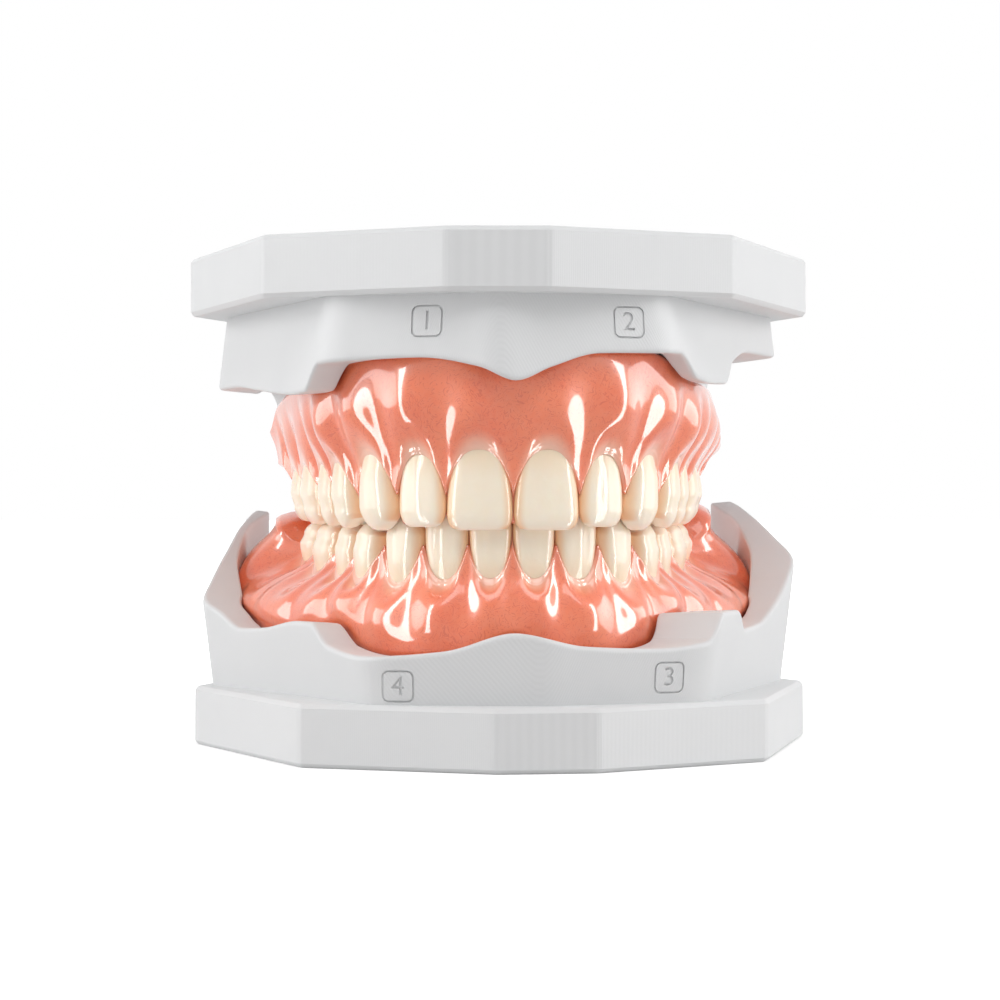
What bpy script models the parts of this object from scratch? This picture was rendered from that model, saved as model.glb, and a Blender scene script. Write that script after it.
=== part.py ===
"""Full denture: an upper and a lower complete denture, each seated on its printed jaw model.

Seen from above, each dental arch is one smooth curve. A tooth stands at its own length along that
curve. Everything else is a row of sections taken across it: the pink base that holds the teeth, and the
jaw model that the base is seated on. In a section, "out" is the distance from the curve towards the lips
and cheeks, and "rise" is the height from the chewing plane towards the gum.

Sizes are in millimetres. The finished meshes are in metres, with +Z up and the teeth facing -Y. Right and
left are the wearer's, so the right teeth lie towards -X.
"""

import math

import bmesh
import bpy
import numpy as np
from mathutils import Vector
from mathutils.bvhtree import BVHTree

MM = 0.001

# Fits between pieces that touch on the real denture
SOCKET_GAP = 0.3
SEAT_GAP = 0.35
TOOTH_SPACING = 0.3
BITE_GAP = 0.4

# Levels
LOWER_MODEL_HEIGHT = 32.5
UPPER_MODEL_HEIGHT = 38.6
SLAB_THICKNESS = 8.3
BODY_ROOT = 2.0

# The body of a model stands round the denture's flange and leans outwards from its slab
UPPER_FRONT_WALL = 2.5
LOWER_FRONT_WALL = 3.8
UPPER_SIDE_WALL = 6.4
LOWER_SIDE_WALL = 4.9
SHOULDER_HALF_WIDTH = 22.0
SIDE_DEPTH = 41.0
HEEL_WALL = 7.6
HEEL_RUN = 6.4
HEEL_OVERRUN = 0.3  # share of the heel's wall, past the last section
RIM_WALL = 1.0
BODY_LEAN = 0.12

# The slab of a model stands out from the foot of the body
UPPER_FRONT_STEP = 2.0
LOWER_FRONT_STEP = 3.6
UPPER_SIDE_STEP = 4.7
LOWER_SIDE_STEP = 2.3
SHOULDER_STEP = 1.2
HEEL_STEP = 1.6
BACK_STEP = 3.4
SLAB_FRONT_HALF_WIDTH = 6.6
SLAB_SHOULDER_HALF_WIDTH = 31.0
SLAB_SHOULDER_SETBACK = 11.6
SLAB_SIDE_SETBACK = 46.0
SLAB_EDGE = 0.5

# How each model stands under its arch: turned from above, and shifted to the viewer's right
UPPER_MODEL_TURN = -3.0
LOWER_MODEL_TURN = 4.0
UPPER_MODEL_SHIFT = -0.6
LOWER_MODEL_SHIFT = 1.5

# Pink base. A share of a crown is measured from the tooth's tip.
BASE_THICKNESS = 2.2
MARGIN_PROUD = 0.55
MARGIN_ROLL = 0.9
MARGIN_ROUNDNESS = 2.3
NECK_SHARE = 1.0
PAPILLA_SHARE = 0.5
LINGUAL_NECK_SHARE = 0.8
LINGUAL_PAPILLA_SHARE = 0.6
BETWEEN_TEETH = 0.99
PAPILLA_REACH = 0.5
FLANGE_SHARES = (0.92, 0.6, 0.28)
SADDLE_SINK = 1.2
SADDLE_WIDTH = 0.9
INNER_BULGE = 0.6
END_RUN = 6.5
TURN_RUN = 2.0

# Ridge, palate and rim
RIDGE_FULLNESS = 0.8
CREST_FLAT = 0.35
CREST_ROUND = 0.3
BORDER_ROLL = 1.2
BORDER_GAP = 0.525
PALATE_MIDWAY = 0.5
PALATE_ARCHING = 0.8
PALATE_THICKNESS = 2.3
PALATE_EDGE_THICKNESS = 2.6
RIM_FALL = 0.3
RIM_STEP = 0.3

# The chewing teeth
CUSP_SPREAD = 0.46
FOSSA_DROP = 1.6
CUSP_RING = 0.62
FOSSA_RING = 0.26
LABIAL_SQUARENESS = 2.6
LINGUAL_SQUARENESS = 2.1

# How fine the meshes are
TOOTH_SIDES = 10
FRONT_TEETH = 3
FRONT_COLUMNS = 4
BACK_COLUMNS = 2
END_COLUMNS = 2
HEEL_COLUMNS = 2
SMOOTH_BELOW = 40.0
MODEL_SMOOTH_BELOW = 30.0

# Sizes that count as nothing, and one beyond every piece
SAME_POINT = 1e-7
PARALLEL = 1e-9
CORNER_SLIP = 1e-6
BEYOND = 100.0

# The dental arches from above: depth at the middle, reach of the front, corner, back end
UPPER_ARCH = (0.0, 17.0, (20.5, 12.0), (25.8, 42.0))
LOWER_ARCH = (2.4, 14.0, (18.6, 13.0), (24.0, 43.0))

# Tooth forms. A station is (share of the crown from the tip, half width, outer reach, inner reach), each
# reach as a share of the tooth's own size. The last station is the end that the base holds.
INCISOR_WALL = (
    (0.00, 0.82, 0.50, 0.05),
    (0.08, 0.95, 0.82, 0.17),
    (0.30, 1.00, 1.00, 0.40),
    (0.64, 0.92, 0.98, 0.74),
    (1.00, 0.76, 0.66, 1.00),
    (1.20, 0.64, 0.44, 0.86),
)
CANINE_WALL = (
    (0.00, 0.24, 0.42, 0.05),
    (0.11, 0.68, 0.72, 0.22),
    (0.32, 1.00, 0.97, 0.46),
    (0.64, 0.93, 1.00, 0.80),
    (1.00, 0.78, 0.80, 1.00),
    (1.20, 0.66, 0.60, 0.88),
)
CHEEK_TOOTH_WALL = (
    (0.26, 0.92, 0.88, 0.92),
    (0.54, 1.00, 1.00, 1.00),
    (1.00, 0.86, 0.90, 0.88),
    (1.22, 0.76, 0.76, 0.76),
)
# Cusps of the chewing face: (place along the tooth away from the midline, place out, drop of the tip)
UPPER_PREMOLAR_CUSPS = ((0.0, 0.52, 0.0), (0.0, -0.52, 0.2))
LOWER_PREMOLAR_CUSPS = ((0.0, 0.50, 0.0), (0.0, -0.52, 0.6))
MOLAR_CUSPS = ((-0.5, 0.56, 0.0), (0.5, 0.56, 0.1), (-0.5, -0.56, 0.2), (0.5, -0.56, 0.3))

# Teeth from the midline back: name, wall, cusps, width, outer reach, inner reach, crown, drop of the tip
UPPER_TEETH = (
    ("central_incisor", INCISOR_WALL, (), 8.3, 1.6, 4.8, 10.4, 0.0),
    ("lateral_incisor", INCISOR_WALL, (), 6.8, 1.6, 4.3, 9.4, 0.4),
    ("canine", CANINE_WALL, (), 7.6, 3.0, 4.6, 9.8, -0.1),
    ("first_premolar", CHEEK_TOOTH_WALL, UPPER_PREMOLAR_CUSPS, 7.0, 3.8, 4.6, 8.5, 0.2),
    ("second_premolar", CHEEK_TOOTH_WALL, UPPER_PREMOLAR_CUSPS, 6.7, 3.8, 4.6, 8.2, 0.4),
    ("first_molar", CHEEK_TOOTH_WALL, MOLAR_CUSPS, 9.8, 4.5, 5.4, 7.8, 0.7),
    ("second_molar", CHEEK_TOOTH_WALL, MOLAR_CUSPS, 9.0, 4.3, 5.0, 7.0, 1.1),
)
LOWER_TEETH = (
    ("central_incisor", INCISOR_WALL, (), 5.3, 1.4, 3.8, 8.0, 0.0),
    ("lateral_incisor", INCISOR_WALL, (), 5.9, 1.4, 3.9, 8.2, 0.0),
    ("canine", CANINE_WALL, (), 6.9, 2.4, 4.2, 8.4, 0.2),
    ("first_premolar", CHEEK_TOOTH_WALL, LOWER_PREMOLAR_CUSPS, 7.0, 3.6, 3.8, 6.6, 1.5),
    ("second_premolar", CHEEK_TOOTH_WALL, LOWER_PREMOLAR_CUSPS, 7.2, 3.8, 4.0, 6.4, 1.5),
    ("first_molar", CHEEK_TOOTH_WALL, MOLAR_CUSPS, 10.5, 4.8, 4.8, 6.0, 1.6),
    ("second_molar", CHEEK_TOOTH_WALL, MOLAR_CUSPS, 9.8, 4.8, 4.8, 5.2, 1.3),
)

# Curves of the bases and models along the arch, each a list of (length from the midline, value)
UPPER_CURVES = {
    "border_rise": (
        (0, 20.4), (4, 22.6), (8, 23.6), (15, 23.6), (22, 22.2), (26, 20.4), (40, 19.8), (56, 18.0),
        (64, 15.0), (72, 21.0),
    ),
    "border_out": (
        (0, 3.5), (8, 3.9), (15, 4.6), (22, 5.4), (30, 6.0), (42, 6.2), (52, 6.1), (64, 5.9), (72, 6.6),
    ),
    "flange_bulge": ((0, 0.2), (10, 0.5), (30, 0.7), (63, 0.9)),
    "crest_out": ((0, -2.6), (15, -2.2), (25, -1.0), (40, -0.4), (64, 0.0), (72, 3.6)),
    "crest_rise": ((0, 15.2), (10, 14.6), (20, 14.6), (30, 13.0), (45, 12.2), (63, 11.2)),
    "inner_out": ((0, -6.4), (15, -6.2), (25, -6.6), (45, -7.4), (63, -7.0)),
    "inner_rise": ((0, 12.4), (25, 12.2), (45, 11.6), (63, 11.4)),
    "midline_depth": ((0, 11.0), (8, 14.0), (15, 18.0), (23, 23.0), (32, 30.0), (42, 38.0)),
    "midline_rise": ((0, 14.6), (8, 16.8), (15, 18.6), (23, 20.2), (32, 21.2), (42, 21.4), (63, 21.4)),
    "end_margin": ((55, 4.6, 8.6), (63, 4.6, 9.2)),
    "end_saddle": ((55, 0.0, 7.4), (63, 0.0, 8.6)),
    "end_lingual": ((55, -4.6, 7.8), (63, -4.6, 9.0)),
}
LOWER_CURVES = {
    "border_rise": (
        (0, 15.6), (4, 17.2), (8, 18.4), (15, 18.6), (20, 17.6), (24, 15.6), (32, 16.4), (44, 16.2),
        (55, 14.6), (62, 12.0),
    ),
    "border_out": (
        (0, 3.0), (8, 3.3), (15, 4.2), (22, 5.4), (30, 8.0), (38, 10.6), (46, 12.2), (55, 12.6), (61, 10.6),
        (69, 6.0),
    ),
    "flange_bulge": ((0, 0.2), (12, 0.7), (24, 0.6), (34, 1.0), (50, 1.6), (62, 1.6)),
    "crest_out": ((0, -1.8), (15, -1.4), (30, 0.0), (45, 0.8), (62, 1.5)),
    "crest_rise": (
        (0, 12.4), (12, 13.0), (20, 12.6), (30, 11.4), (42, 10.2), (50, 9.0), (56, 7.0), (62, 5.0),
    ),
    "inner_out": ((0, -5.6), (15, -5.6), (30, -6.0), (45, -7.4), (62, -6.4)),
    "inner_rise": ((0, 17.0), (15, 17.0), (30, 17.4), (45, 17.0), (55, 15.0), (62, 11.0)),
    "midline_depth": ((0, 14.0), (8, 17.0), (15, 21.0), (23, 26.0), (32, 33.0), (42, 41.0)),
    "midline_rise": ((0, 20.0), (62, 20.0)),
    "end_margin": ((53, 5.0, 5.8), (57, 7.2, 2.8), (62, 6.6, 1.4)),
    "end_saddle": ((53, 0.4, 5.2), (57, 1.6, 2.2), (62, 1.4, 1.0)),
    "end_lingual": ((53, -4.0, 6.2), (57, -3.6, 4.0), (62, -3.2, 3.4)),
}
# Rim of a model as (signed length, rise): its cut-aways differ between the two sides
UPPER_RIM = (
    (-90, 19.8), (-50, 19.8), (-40, 19.0), (-25, 17.8), (-21.5, 18.0), (-19, 21.4), (-10, 22.0), (-4, 20.8),
    (0, 19.0), (4, 20.8), (9, 22.6), (17, 22.8), (21, 19.8), (25, 19.4), (31, 19.6), (35, 22.8), (42, 24.5),
    (90, 24.5),
)
LOWER_RIM = (
    (-90, -1.0), (-69, -0.8), (-62, 1.6), (-57, 5.6), (-50, 11.8), (-45, 13.6), (-40, 15.6), (-34, 15.3),
    (-25, 14.0), (-22, 14.0), (-19, 16.8), (-13, 17.9), (-7, 17.2), (0, 14.8), (7, 16.6), (13, 17.0),
    (16.5, 16.2), (19, 12.6), (25, 12.6), (30, 15.4), (38, 15.0), (45, 13.0), (50, 10.6), (57, 4.6),
    (62, 0.6), (69, -2.2), (90, -3.0),
)

MATERIALS = {
    "print": ((0.79, 0.80, 0.81), 0.55),
    "gum_acrylic": ((0.80, 0.27, 0.20), 0.18),
    "tooth_acrylic": ((0.90, 0.80, 0.66), 0.2),
}


def smooth_through(stations, at):
    """A smooth value at each place in `at`, through stations of (place, value), with no overshoot."""
    places = np.array([s[0] for s in stations], float)
    values = np.array([s[1] for s in stations], float)
    run = np.diff(values) / np.diff(places)
    slopes = np.zeros(len(places))
    same_way = run[1:] * run[:-1] > 0
    slopes[1:-1][same_way] = 2 * run[1:][same_way] * run[:-1][same_way] / (run[1:] + run[:-1])[same_way]
    at = np.clip(np.asarray(at, float), places[0], places[-1])
    i = np.clip(np.searchsorted(places, at) - 1, 0, len(places) - 2)
    span = places[i + 1] - places[i]
    t = (at - places[i]) / span
    return (
        (2 * t**3 - 3 * t**2 + 1) * values[i]
        + (t**3 - 2 * t**2 + t) * slopes[i] * span
        + (3 * t**2 - 2 * t**3) * values[i + 1]
        + (t**3 - t**2) * slopes[i + 1] * span
    )


class Arch:
    """A dental arch from above: one cubic curve a side, walked by length from the midline."""

    FINENESS = 600
    STEP = 0.4

    def __init__(self, front_depth, front_reach, corner, back, turn_over):
        controls = np.array([(0.0, front_depth), (front_reach, front_depth), corner, back])
        t = np.linspace(0, 1, self.FINENESS)[:, None]
        weights = ((1 - t) ** 3, 3 * t * (1 - t) ** 2, 3 * t**2 * (1 - t), t**3)
        self.points = sum(w * p for w, p in zip(weights, controls))
        steps = np.linalg.norm(np.diff(self.points, axis=0), axis=1)
        self.lengths = np.concatenate([[0], np.cumsum(steps)])
        self.turn_over = turn_over

    def side_place(self, length):
        """A point on the viewer's right, where a negative length crosses the midline."""
        if length <= self.lengths[-1]:
            x, y = (np.interp(abs(length), self.lengths, self.points[:, k]) for k in (0, 1))
            return np.array([math.copysign(x, length), y])
        run = self.points[-1] - self.points[-2]
        run = run / np.linalg.norm(run)
        return self.points[-1] + run * (length - self.lengths[-1])

    def place(self, s):
        """(point, direction along, direction out) at a signed length, negative to the viewer's left."""
        side, length = (-1.0 if s < 0 else 1.0), abs(s)
        point = self.side_place(length)
        run = self.side_place(length + self.STEP) - self.side_place(length - self.STEP)
        run = run / np.linalg.norm(run)
        # Behind the teeth, the sections turn until they lie straight across the jaw
        start, end = self.turn_over
        blend = np.clip((length - start) / (end - start), 0, 1)
        run = run * (1 - blend) + np.array([0.0, 1.0]) * blend
        run = run / np.linalg.norm(run)
        along = np.array([run[0], side * run[1]])
        return np.array([side * point[0], point[1]]), along, np.array([along[1], -along[0]])


class Tooth:
    """One tooth, standing at its own length along its arch."""

    def __init__(self, arch, side, s, spec):
        name, self.wall, self.cusps, self.width, self.outer, self.inner, self.crown, self.tip = spec
        self.name = ("left_" if side > 0 else "right_") + name
        self.side = side
        self.s = side * s
        self.centre, self.along, self.out = arch.place(self.s)

    def reach(self, rise, grow=0.0):
        """(half width, outer reach, inner reach) at a rise from the chewing plane."""
        share = (rise - self.tip) / self.crown
        half = smooth_through([(w[0], w[1]) for w in self.wall], share) * self.width / 2
        outer = smooth_through([(w[0], w[2]) for w in self.wall], share) * self.outer
        inner = smooth_through([(w[0], w[3]) for w in self.wall], share) * self.inner
        return half + grow, outer + grow, inner + grow

    def face(self, x, rise, outside):
        """How far out the tooth's face lies at a rise, x along from its middle."""
        half, outer, inner = self.reach(rise)
        squareness = LABIAL_SQUARENESS if outside else LINGUAL_SQUARENESS
        left = max(1 - abs(x / half) ** squareness, 0) ** (1 / squareness)
        return (outer if outside else -inner) * left

    def ring(self, rise, shrink=1.0, grow=0.0):
        """A closed ring of (along, out) points at a rise, shrunk towards the middle."""
        half, outer, inner = self.reach(rise, grow)
        points = []
        for k in range(TOOTH_SIDES):
            angle = 2 * math.pi * k / TOOTH_SIDES
            c, s = math.cos(angle), math.sin(angle)
            squareness = LABIAL_SQUARENESS if s > 0 else LINGUAL_SQUARENESS
            x = half * math.copysign(abs(c) ** (2 / squareness), c)
            out = (outer if s > 0 else inner) * math.copysign(abs(s) ** (2 / squareness), s)
            points.append((x * shrink, out * shrink))
        return points

    def chewing_drop(self, x, out):
        """How far the chewing face lies above the cusp tips, at a place along and out."""
        drop = FOSSA_DROP
        for away, towards_cheek, tip_drop in self.cusps:
            cusp_x = self.side * away * self.width / 2
            cusp_out = towards_cheek * (self.outer if towards_cheek > 0 else self.inner)
            far = math.hypot((x - cusp_x) / (self.width / 2), (out - cusp_out) / self.outer)
            drop -= (FOSSA_DROP - tip_drop) * math.exp(-((far / CUSP_SPREAD) ** 2) / 2)
        return drop

    def rings(self, grow=0.0):
        """All rings as (along, out, rise) points, from the chewing end to the end that the base holds."""
        rings = []
        if self.cusps:
            shoulder = self.tip + self.wall[0][0] * self.crown
            for shrink in (FOSSA_RING, CUSP_RING):
                flat = self.ring(shoulder, shrink)
                rings.append([(x, o, self.tip - grow + self.chewing_drop(x, o)) for x, o in flat])
        for share, *_ in self.wall:
            rise = self.tip + share * self.crown
            held = grow if share == self.wall[-1][0] else 0.0
            rings.append([(x, o, rise + held) for x, o in self.ring(rise, grow=grow)])
        return rings

    def plan(self, x, out):
        return self.centre + self.along * x + self.out * out


class Jaw:
    """An upper or lower denture with its model: the arch, its teeth and the curves of the rest."""

    def __init__(self, name, arch, specs, curves, rim, direction, model_height, wall, step, stance):
        self.name, self.curves, self.rim, self.direction = name, curves, rim, direction
        self.front_wall, self.side_wall = wall
        self.front_step, self.side_step = step
        self.turn, self.shift = stance
        self.slab_rise = model_height - SLAB_THICKNESS
        self.top_rise = model_height
        self.level = 0.0
        self.origin = (0.0, 0.0)
        self.has_palate = name == "upper"
        self.last = sum(spec[3] + TOOTH_SPACING for spec in specs)
        self.end = self.last + END_RUN
        self.arch = Arch(*arch, turn_over=(self.last - TURN_RUN, self.end))
        self.teeth = []
        self.columns = [0.0]
        s = 0.0
        for number, spec in enumerate(specs):
            width = spec[3] + TOOTH_SPACING
            for side in (-1, 1):
                self.teeth.append(Tooth(self.arch, side, s + width / 2, spec))
            steps = FRONT_COLUMNS if number < FRONT_TEETH else BACK_COLUMNS
            self.columns += [s + width * (k + 1) / steps for k in range(steps)]
            s += width
        self.columns += [self.last + END_RUN * (k + 1) / END_COLUMNS for k in range(END_COLUMNS)]
        self.heel_columns = [self.end + HEEL_RUN * (k + 1) / HEEL_COLUMNS for k in range(HEEL_COLUMNS)]
        self.body_corners = self.body_outline(arch[0])
        self.slab_corners = self.slab_outline()

    def value(self, curve, s):
        return float(smooth_through(self.curves[curve], abs(s)))

    def pair(self, curve, s):
        stations = self.curves[curve]
        return tuple(float(smooth_through([(p[0], p[k]) for p in stations], abs(s))) for k in (1, 2))

    def at(self, s, out, rise):
        """A point as (x, depth, rise) at a signed length, out from the arch."""
        point, _, outward = self.arch.place(s)
        x, depth = point + outward * out
        return (x, depth, rise)

    def world(self, point):
        x, depth, rise = point
        height = self.level + self.direction * rise
        return ((x - self.origin[0]) * MM, (depth - self.origin[1]) * MM, height * MM)

    def tooth_at(self, s):
        return min(self.teeth, key=lambda t: abs(s - t.s) - t.width / 2)

    def margin(self, s, outside):
        """Where the pink meets the teeth, outside or inside the arch, as a point."""
        if abs(s) > self.last:
            return self.at(s, *self.pair("end_margin" if outside else "end_lingual", s))
        tooth = self.tooth_at(s)
        x = s - tooth.s
        u = min(abs(x) / (tooth.width / 2), 1.0)
        neck = NECK_SHARE if outside else LINGUAL_NECK_SHARE
        papilla = PAPILLA_SHARE if outside else LINGUAL_PAPILLA_SHARE
        share = neck - (neck - papilla) * u**MARGIN_ROUNDNESS
        rise = tooth.tip + share * tooth.crown
        proud = MARGIN_PROUD if outside else -MARGIN_PROUD
        if u > BETWEEN_TEETH:
            _, outer, inner = tooth.reach(rise)
            return self.at(s, (outer if outside else -inner) * PAPILLA_REACH + proud, rise)
        x, depth = tooth.plan(x, tooth.face(x, rise, outside) + proud)
        return (x, depth, rise)

    def midline(self, s):
        """The point where the section at s meets the middle of the jaw, as (0, depth, rise)."""
        if abs(s) > self.end:
            depth = self.arch.place(s)[0][1]
        else:
            end_depth = self.arch.place(self.end)[0][1]
            stations = [p for p in self.curves["midline_depth"] if p[0] < self.last]
            depth = float(smooth_through([*stations, (self.end, end_depth)], abs(s)))
        return (0.0, depth, self.value("midline_rise", s))

    def polished(self, s):
        """The shiny side of the base from its outer border over the teeth's necks to the inner end."""
        border_out, border_rise = self.value("border_out", s), self.value("border_rise", s)
        margin, lingual = self.margin(s, True), self.margin(s, False)
        point, _, outward = self.arch.place(s)
        margin_out = float(np.dot(np.array(margin[:2]) - point, outward))
        lingual_out = float(np.dot(np.array(lingual[:2]) - point, outward))
        bulge = self.value("flange_bulge", s)
        rows = [self.at(s, border_out - BASE_THICKNESS / 2, border_rise)]
        for share in FLANGE_SHARES:
            out = margin_out + (border_out - margin_out) * share + bulge * math.sin(math.pi * share)
            rows.append(self.at(s, out, margin[2] + (border_rise - margin[2]) * share))
        rows.append(self.at(s, margin_out + MARGIN_PROUD / 2, margin[2] + MARGIN_ROLL))
        rows.append(margin)
        if abs(s) > self.last:
            rows.append(self.at(s, *self.pair("end_saddle", s)))
        else:
            sink = SADDLE_SINK if self.inside_tooth(s) else 0.0
            rise = max(margin[2], lingual[2]) + sink
            rows.append(self.at(s, (margin_out + lingual_out) / 2, rise))
        rows.append(lingual)
        inner_out, inner_rise = self.value("inner_out", s), self.value("inner_rise", s)
        bulge_out = (lingual_out + inner_out) / 2 - INNER_BULGE
        rows.append(self.at(s, bulge_out, (lingual[2] + inner_rise) / 2))
        rows.append(self.at(s, inner_out, inner_rise))
        return rows

    def inside_tooth(self, s):
        tooth = self.tooth_at(s)
        return abs(s - tooth.s) < SADDLE_WIDTH * tooth.width / 2

    def flange_out(self, s, rise):
        """How far out the shiny side of the flange lies at a rise."""
        point, _, outward = self.arch.place(s)
        rows = self.polished(s)[1 : len(FLANGE_SHARES) + 2]
        outs = [float(np.dot(np.array(row[:2]) - point, outward)) for row in rows]
        return float(np.interp(rise, [row[2] for row in rows][::-1], outs[::-1]))

    def ridge(self, s, gap=0.0):
        """The fitting side as points from the outer border over the ridge to the inner end."""
        border_out, border_rise = self.value("border_out", s), self.value("border_rise", s)
        crest_out, crest_rise = self.value("crest_out", s), self.value("crest_rise", s)
        inner_out, inner_rise = self.value("inner_out", s), self.value("inner_rise", s)
        fit_out = border_out - BASE_THICKNESS
        fit_inner = inner_out + BASE_THICKNESS
        half = (fit_out - crest_out) * RIDGE_FULLNESS
        inner_half = (crest_out - fit_inner) * RIDGE_FULLNESS
        rows = [
            self.at(s, fit_out - gap, border_rise - BORDER_ROLL + gap),
            self.at(s, crest_out + half - gap, (border_rise + crest_rise) / 2 + gap / 2),
            self.at(s, crest_out + half * CREST_FLAT, crest_rise + CREST_ROUND + gap),
            self.at(s, crest_out - inner_half * CREST_FLAT, crest_rise + CREST_ROUND + gap),
        ]
        if self.has_palate:
            rows.append(self.at(s, fit_inner + gap / 2, inner_rise + PALATE_EDGE_THICKNESS + gap))
            return rows
        wall = (inner_rise + crest_rise) / 2
        rows.append(self.at(s, crest_out - inner_half + gap, wall + gap / 2))
        rows.append(self.at(s, fit_inner + gap, inner_rise - BORDER_ROLL + gap))
        return rows

    def palate(self, s, start, lift):
        """Two points from the inner end of a section across to the middle of the jaw."""
        middle = self.midline(s)
        middle = (middle[0], middle[1], middle[2] + lift)
        share = np.array([PALATE_MIDWAY, PALATE_MIDWAY, PALATE_ARCHING])
        between = np.array(start) * (1 - share) + np.array(middle) * share
        return [tuple(between), middle]

    def base_section(self, s):
        """(shiny side, fitting side) of the pink base at s, each from the outer border inwards."""
        polished, ridge = self.polished(s), self.ridge(s)
        if self.has_palate:
            polished += self.palate(s, polished[-1], 0.0)
            ridge += self.palate(s, ridge[-1], PALATE_THICKNESS)
        return polished, ridge

    def body_outline(self, arch_front):
        """The foot of the body from above, as half an outline: front, shoulder, side, heel."""
        front_reach = self.value("border_out", 0.0) - arch_front + self.front_wall
        flange = max(self.at(s, self.value("border_out", s), 0.0)[0] for s in self.columns)
        end_x, end_depth = self.arch.place(self.end)[0]
        slab_front = front_reach + self.front_step
        slope = SLAB_SHOULDER_SETBACK / (SLAB_SHOULDER_HALF_WIDTH - SLAB_FRONT_HALF_WIDTH)
        facet_depth = (SHOULDER_HALF_WIDTH - SLAB_FRONT_HALF_WIDTH) * slope - slab_front
        shoulder_depth = facet_depth + SHOULDER_STEP
        return [
            (0.0, -front_reach),
            (SHOULDER_HALF_WIDTH, shoulder_depth),
            (flange + self.side_wall, SIDE_DEPTH),
            (end_x + HEEL_WALL, end_depth + HEEL_RUN),
        ]

    def stand(self, outline):
        """Corners drawn square to the arch, turned and shifted to where the model stands."""
        turn = math.radians(self.turn)
        middle = (self.body_corners[-1][1] + self.body_corners[0][1]) / 2
        placed = []
        for x, depth in outline:
            y = depth - middle
            turned_x = x * math.cos(turn) - y * math.sin(turn)
            turned_y = x * math.sin(turn) + y * math.cos(turn)
            placed.append((turned_x + self.shift, turned_y + middle))
        return placed

    def slab_outline(self):
        """The slab from above, as (x, depth) corners."""
        (_, front), _, (side_x, _), (heel_x, back) = self.body_corners
        front -= self.front_step
        half = [
            (SLAB_FRONT_HALF_WIDTH, front),
            (SLAB_SHOULDER_HALF_WIDTH, front + SLAB_SHOULDER_SETBACK),
            (side_x + self.side_step, front + SLAB_SIDE_SETBACK),
            (heel_x + HEEL_STEP, back + BACK_STEP),
        ]
        return self.stand(half + [(-x, y) for x, y in half[::-1]])

    def wall_out(self, s, rise):
        """How far out the body's outside wall lies at s, at a rise."""
        point, _, outward = self.arch.place(s)
        lean = BODY_LEAN * (self.slab_rise - rise)
        (_, front), (shoulder_x, shoulder), (side_x, side), (heel_x, back) = self.body_corners
        corners = [
            (0.0, front - lean),
            (shoulder_x + lean, shoulder - lean),
            (side_x + lean, side),
            (heel_x + (heel_x - side_x) * HEEL_OVERRUN + lean, back + (back - side) * HEEL_OVERRUN),
        ]
        outline = np.array(self.stand([(-x, y) for x, y in corners[:0:-1]] + corners))
        reach = 0.0
        for a, b in zip(outline, outline[1:]):
            edge = b - a
            across = outward[0] * edge[1] - outward[1] * edge[0]
            if abs(across) < PARALLEL:
                continue
            gap = a - point
            out = (gap[0] * edge[1] - gap[1] * edge[0]) / across
            share = (gap[0] * outward[1] - gap[1] * outward[0]) / across
            if out > 0 and -CORNER_SLIP <= share <= 1 + CORNER_SLIP:
                reach = max(reach, out)
        return reach

    def model_section(self, s):
        """The surface of the model at s, from the foot of its outside wall to the middle of the jaw."""
        rim = float(smooth_through(self.rim, s))
        root = self.slab_rise + BODY_ROOT
        border_out, border_rise = self.value("border_out", s), self.value("border_rise", s)
        flange = self.polished(min(max(s, -self.end), self.end))[1]
        flange_out = self.flange_out(s, rim) if abs(s) <= self.end else border_out
        shoulder_out = self.flange_out(s, flange[2]) if abs(s) <= self.end else border_out
        trough = rim + RIM_FALL + RIM_STEP
        rim_out = self.wall_out(s, rim)
        inside = rim_out - RIM_WALL
        rows = [
            self.at(s, self.wall_out(s, root), root),
            self.at(s, rim_out, rim),
            self.at(s, min(max(flange_out, shoulder_out) + BORDER_GAP, inside), rim + RIM_FALL),
            self.at(s, min(shoulder_out + BORDER_GAP, inside), max(flange[2], trough)),
            self.at(s, min(border_out - BASE_THICKNESS / 2, inside), max(border_rise, trough) + BORDER_GAP),
        ]
        rows += self.ridge(s, SEAT_GAP)
        if self.has_palate:
            return rows + self.palate(s, rows[-1], PALATE_THICKNESS + SEAT_GAP)
        inner_out, inner_rise = self.value("inner_out", s), self.value("inner_rise", s)
        rows.append(self.at(s, inner_out + BASE_THICKNESS / 2, inner_rise + BORDER_GAP))
        rows.append(self.at(s, inner_out - BORDER_GAP, inner_rise + BORDER_GAP))
        return rows + self.palate(s, rows[-1], 0.0)

    def both_sides(self, columns):
        return [-s for s in columns[:0:-1]] + list(columns)


def mesh_of(name, vertices, faces, to_world):
    """A closed mesh from shared points and faces, facing outwards."""
    bm = bmesh.new()
    made = [bm.verts.new(to_world(v)) for v in vertices]
    for face in faces:
        corners = list(dict.fromkeys(face))
        if len(corners) > 2:
            bm.faces.new([made[k] for k in corners])
    bmesh.ops.remove_doubles(bm, verts=bm.verts, dist=SAME_POINT)
    bmesh.ops.dissolve_degenerate(bm, edges=bm.edges, dist=SAME_POINT)
    bmesh.ops.recalc_face_normals(bm, faces=bm.faces)
    if bm.calc_volume(signed=True) < 0:
        bmesh.ops.reverse_faces(bm, faces=bm.faces)
    mesh = bpy.data.meshes.new(name)
    bm.to_mesh(mesh)
    bm.free()
    return mesh


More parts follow.
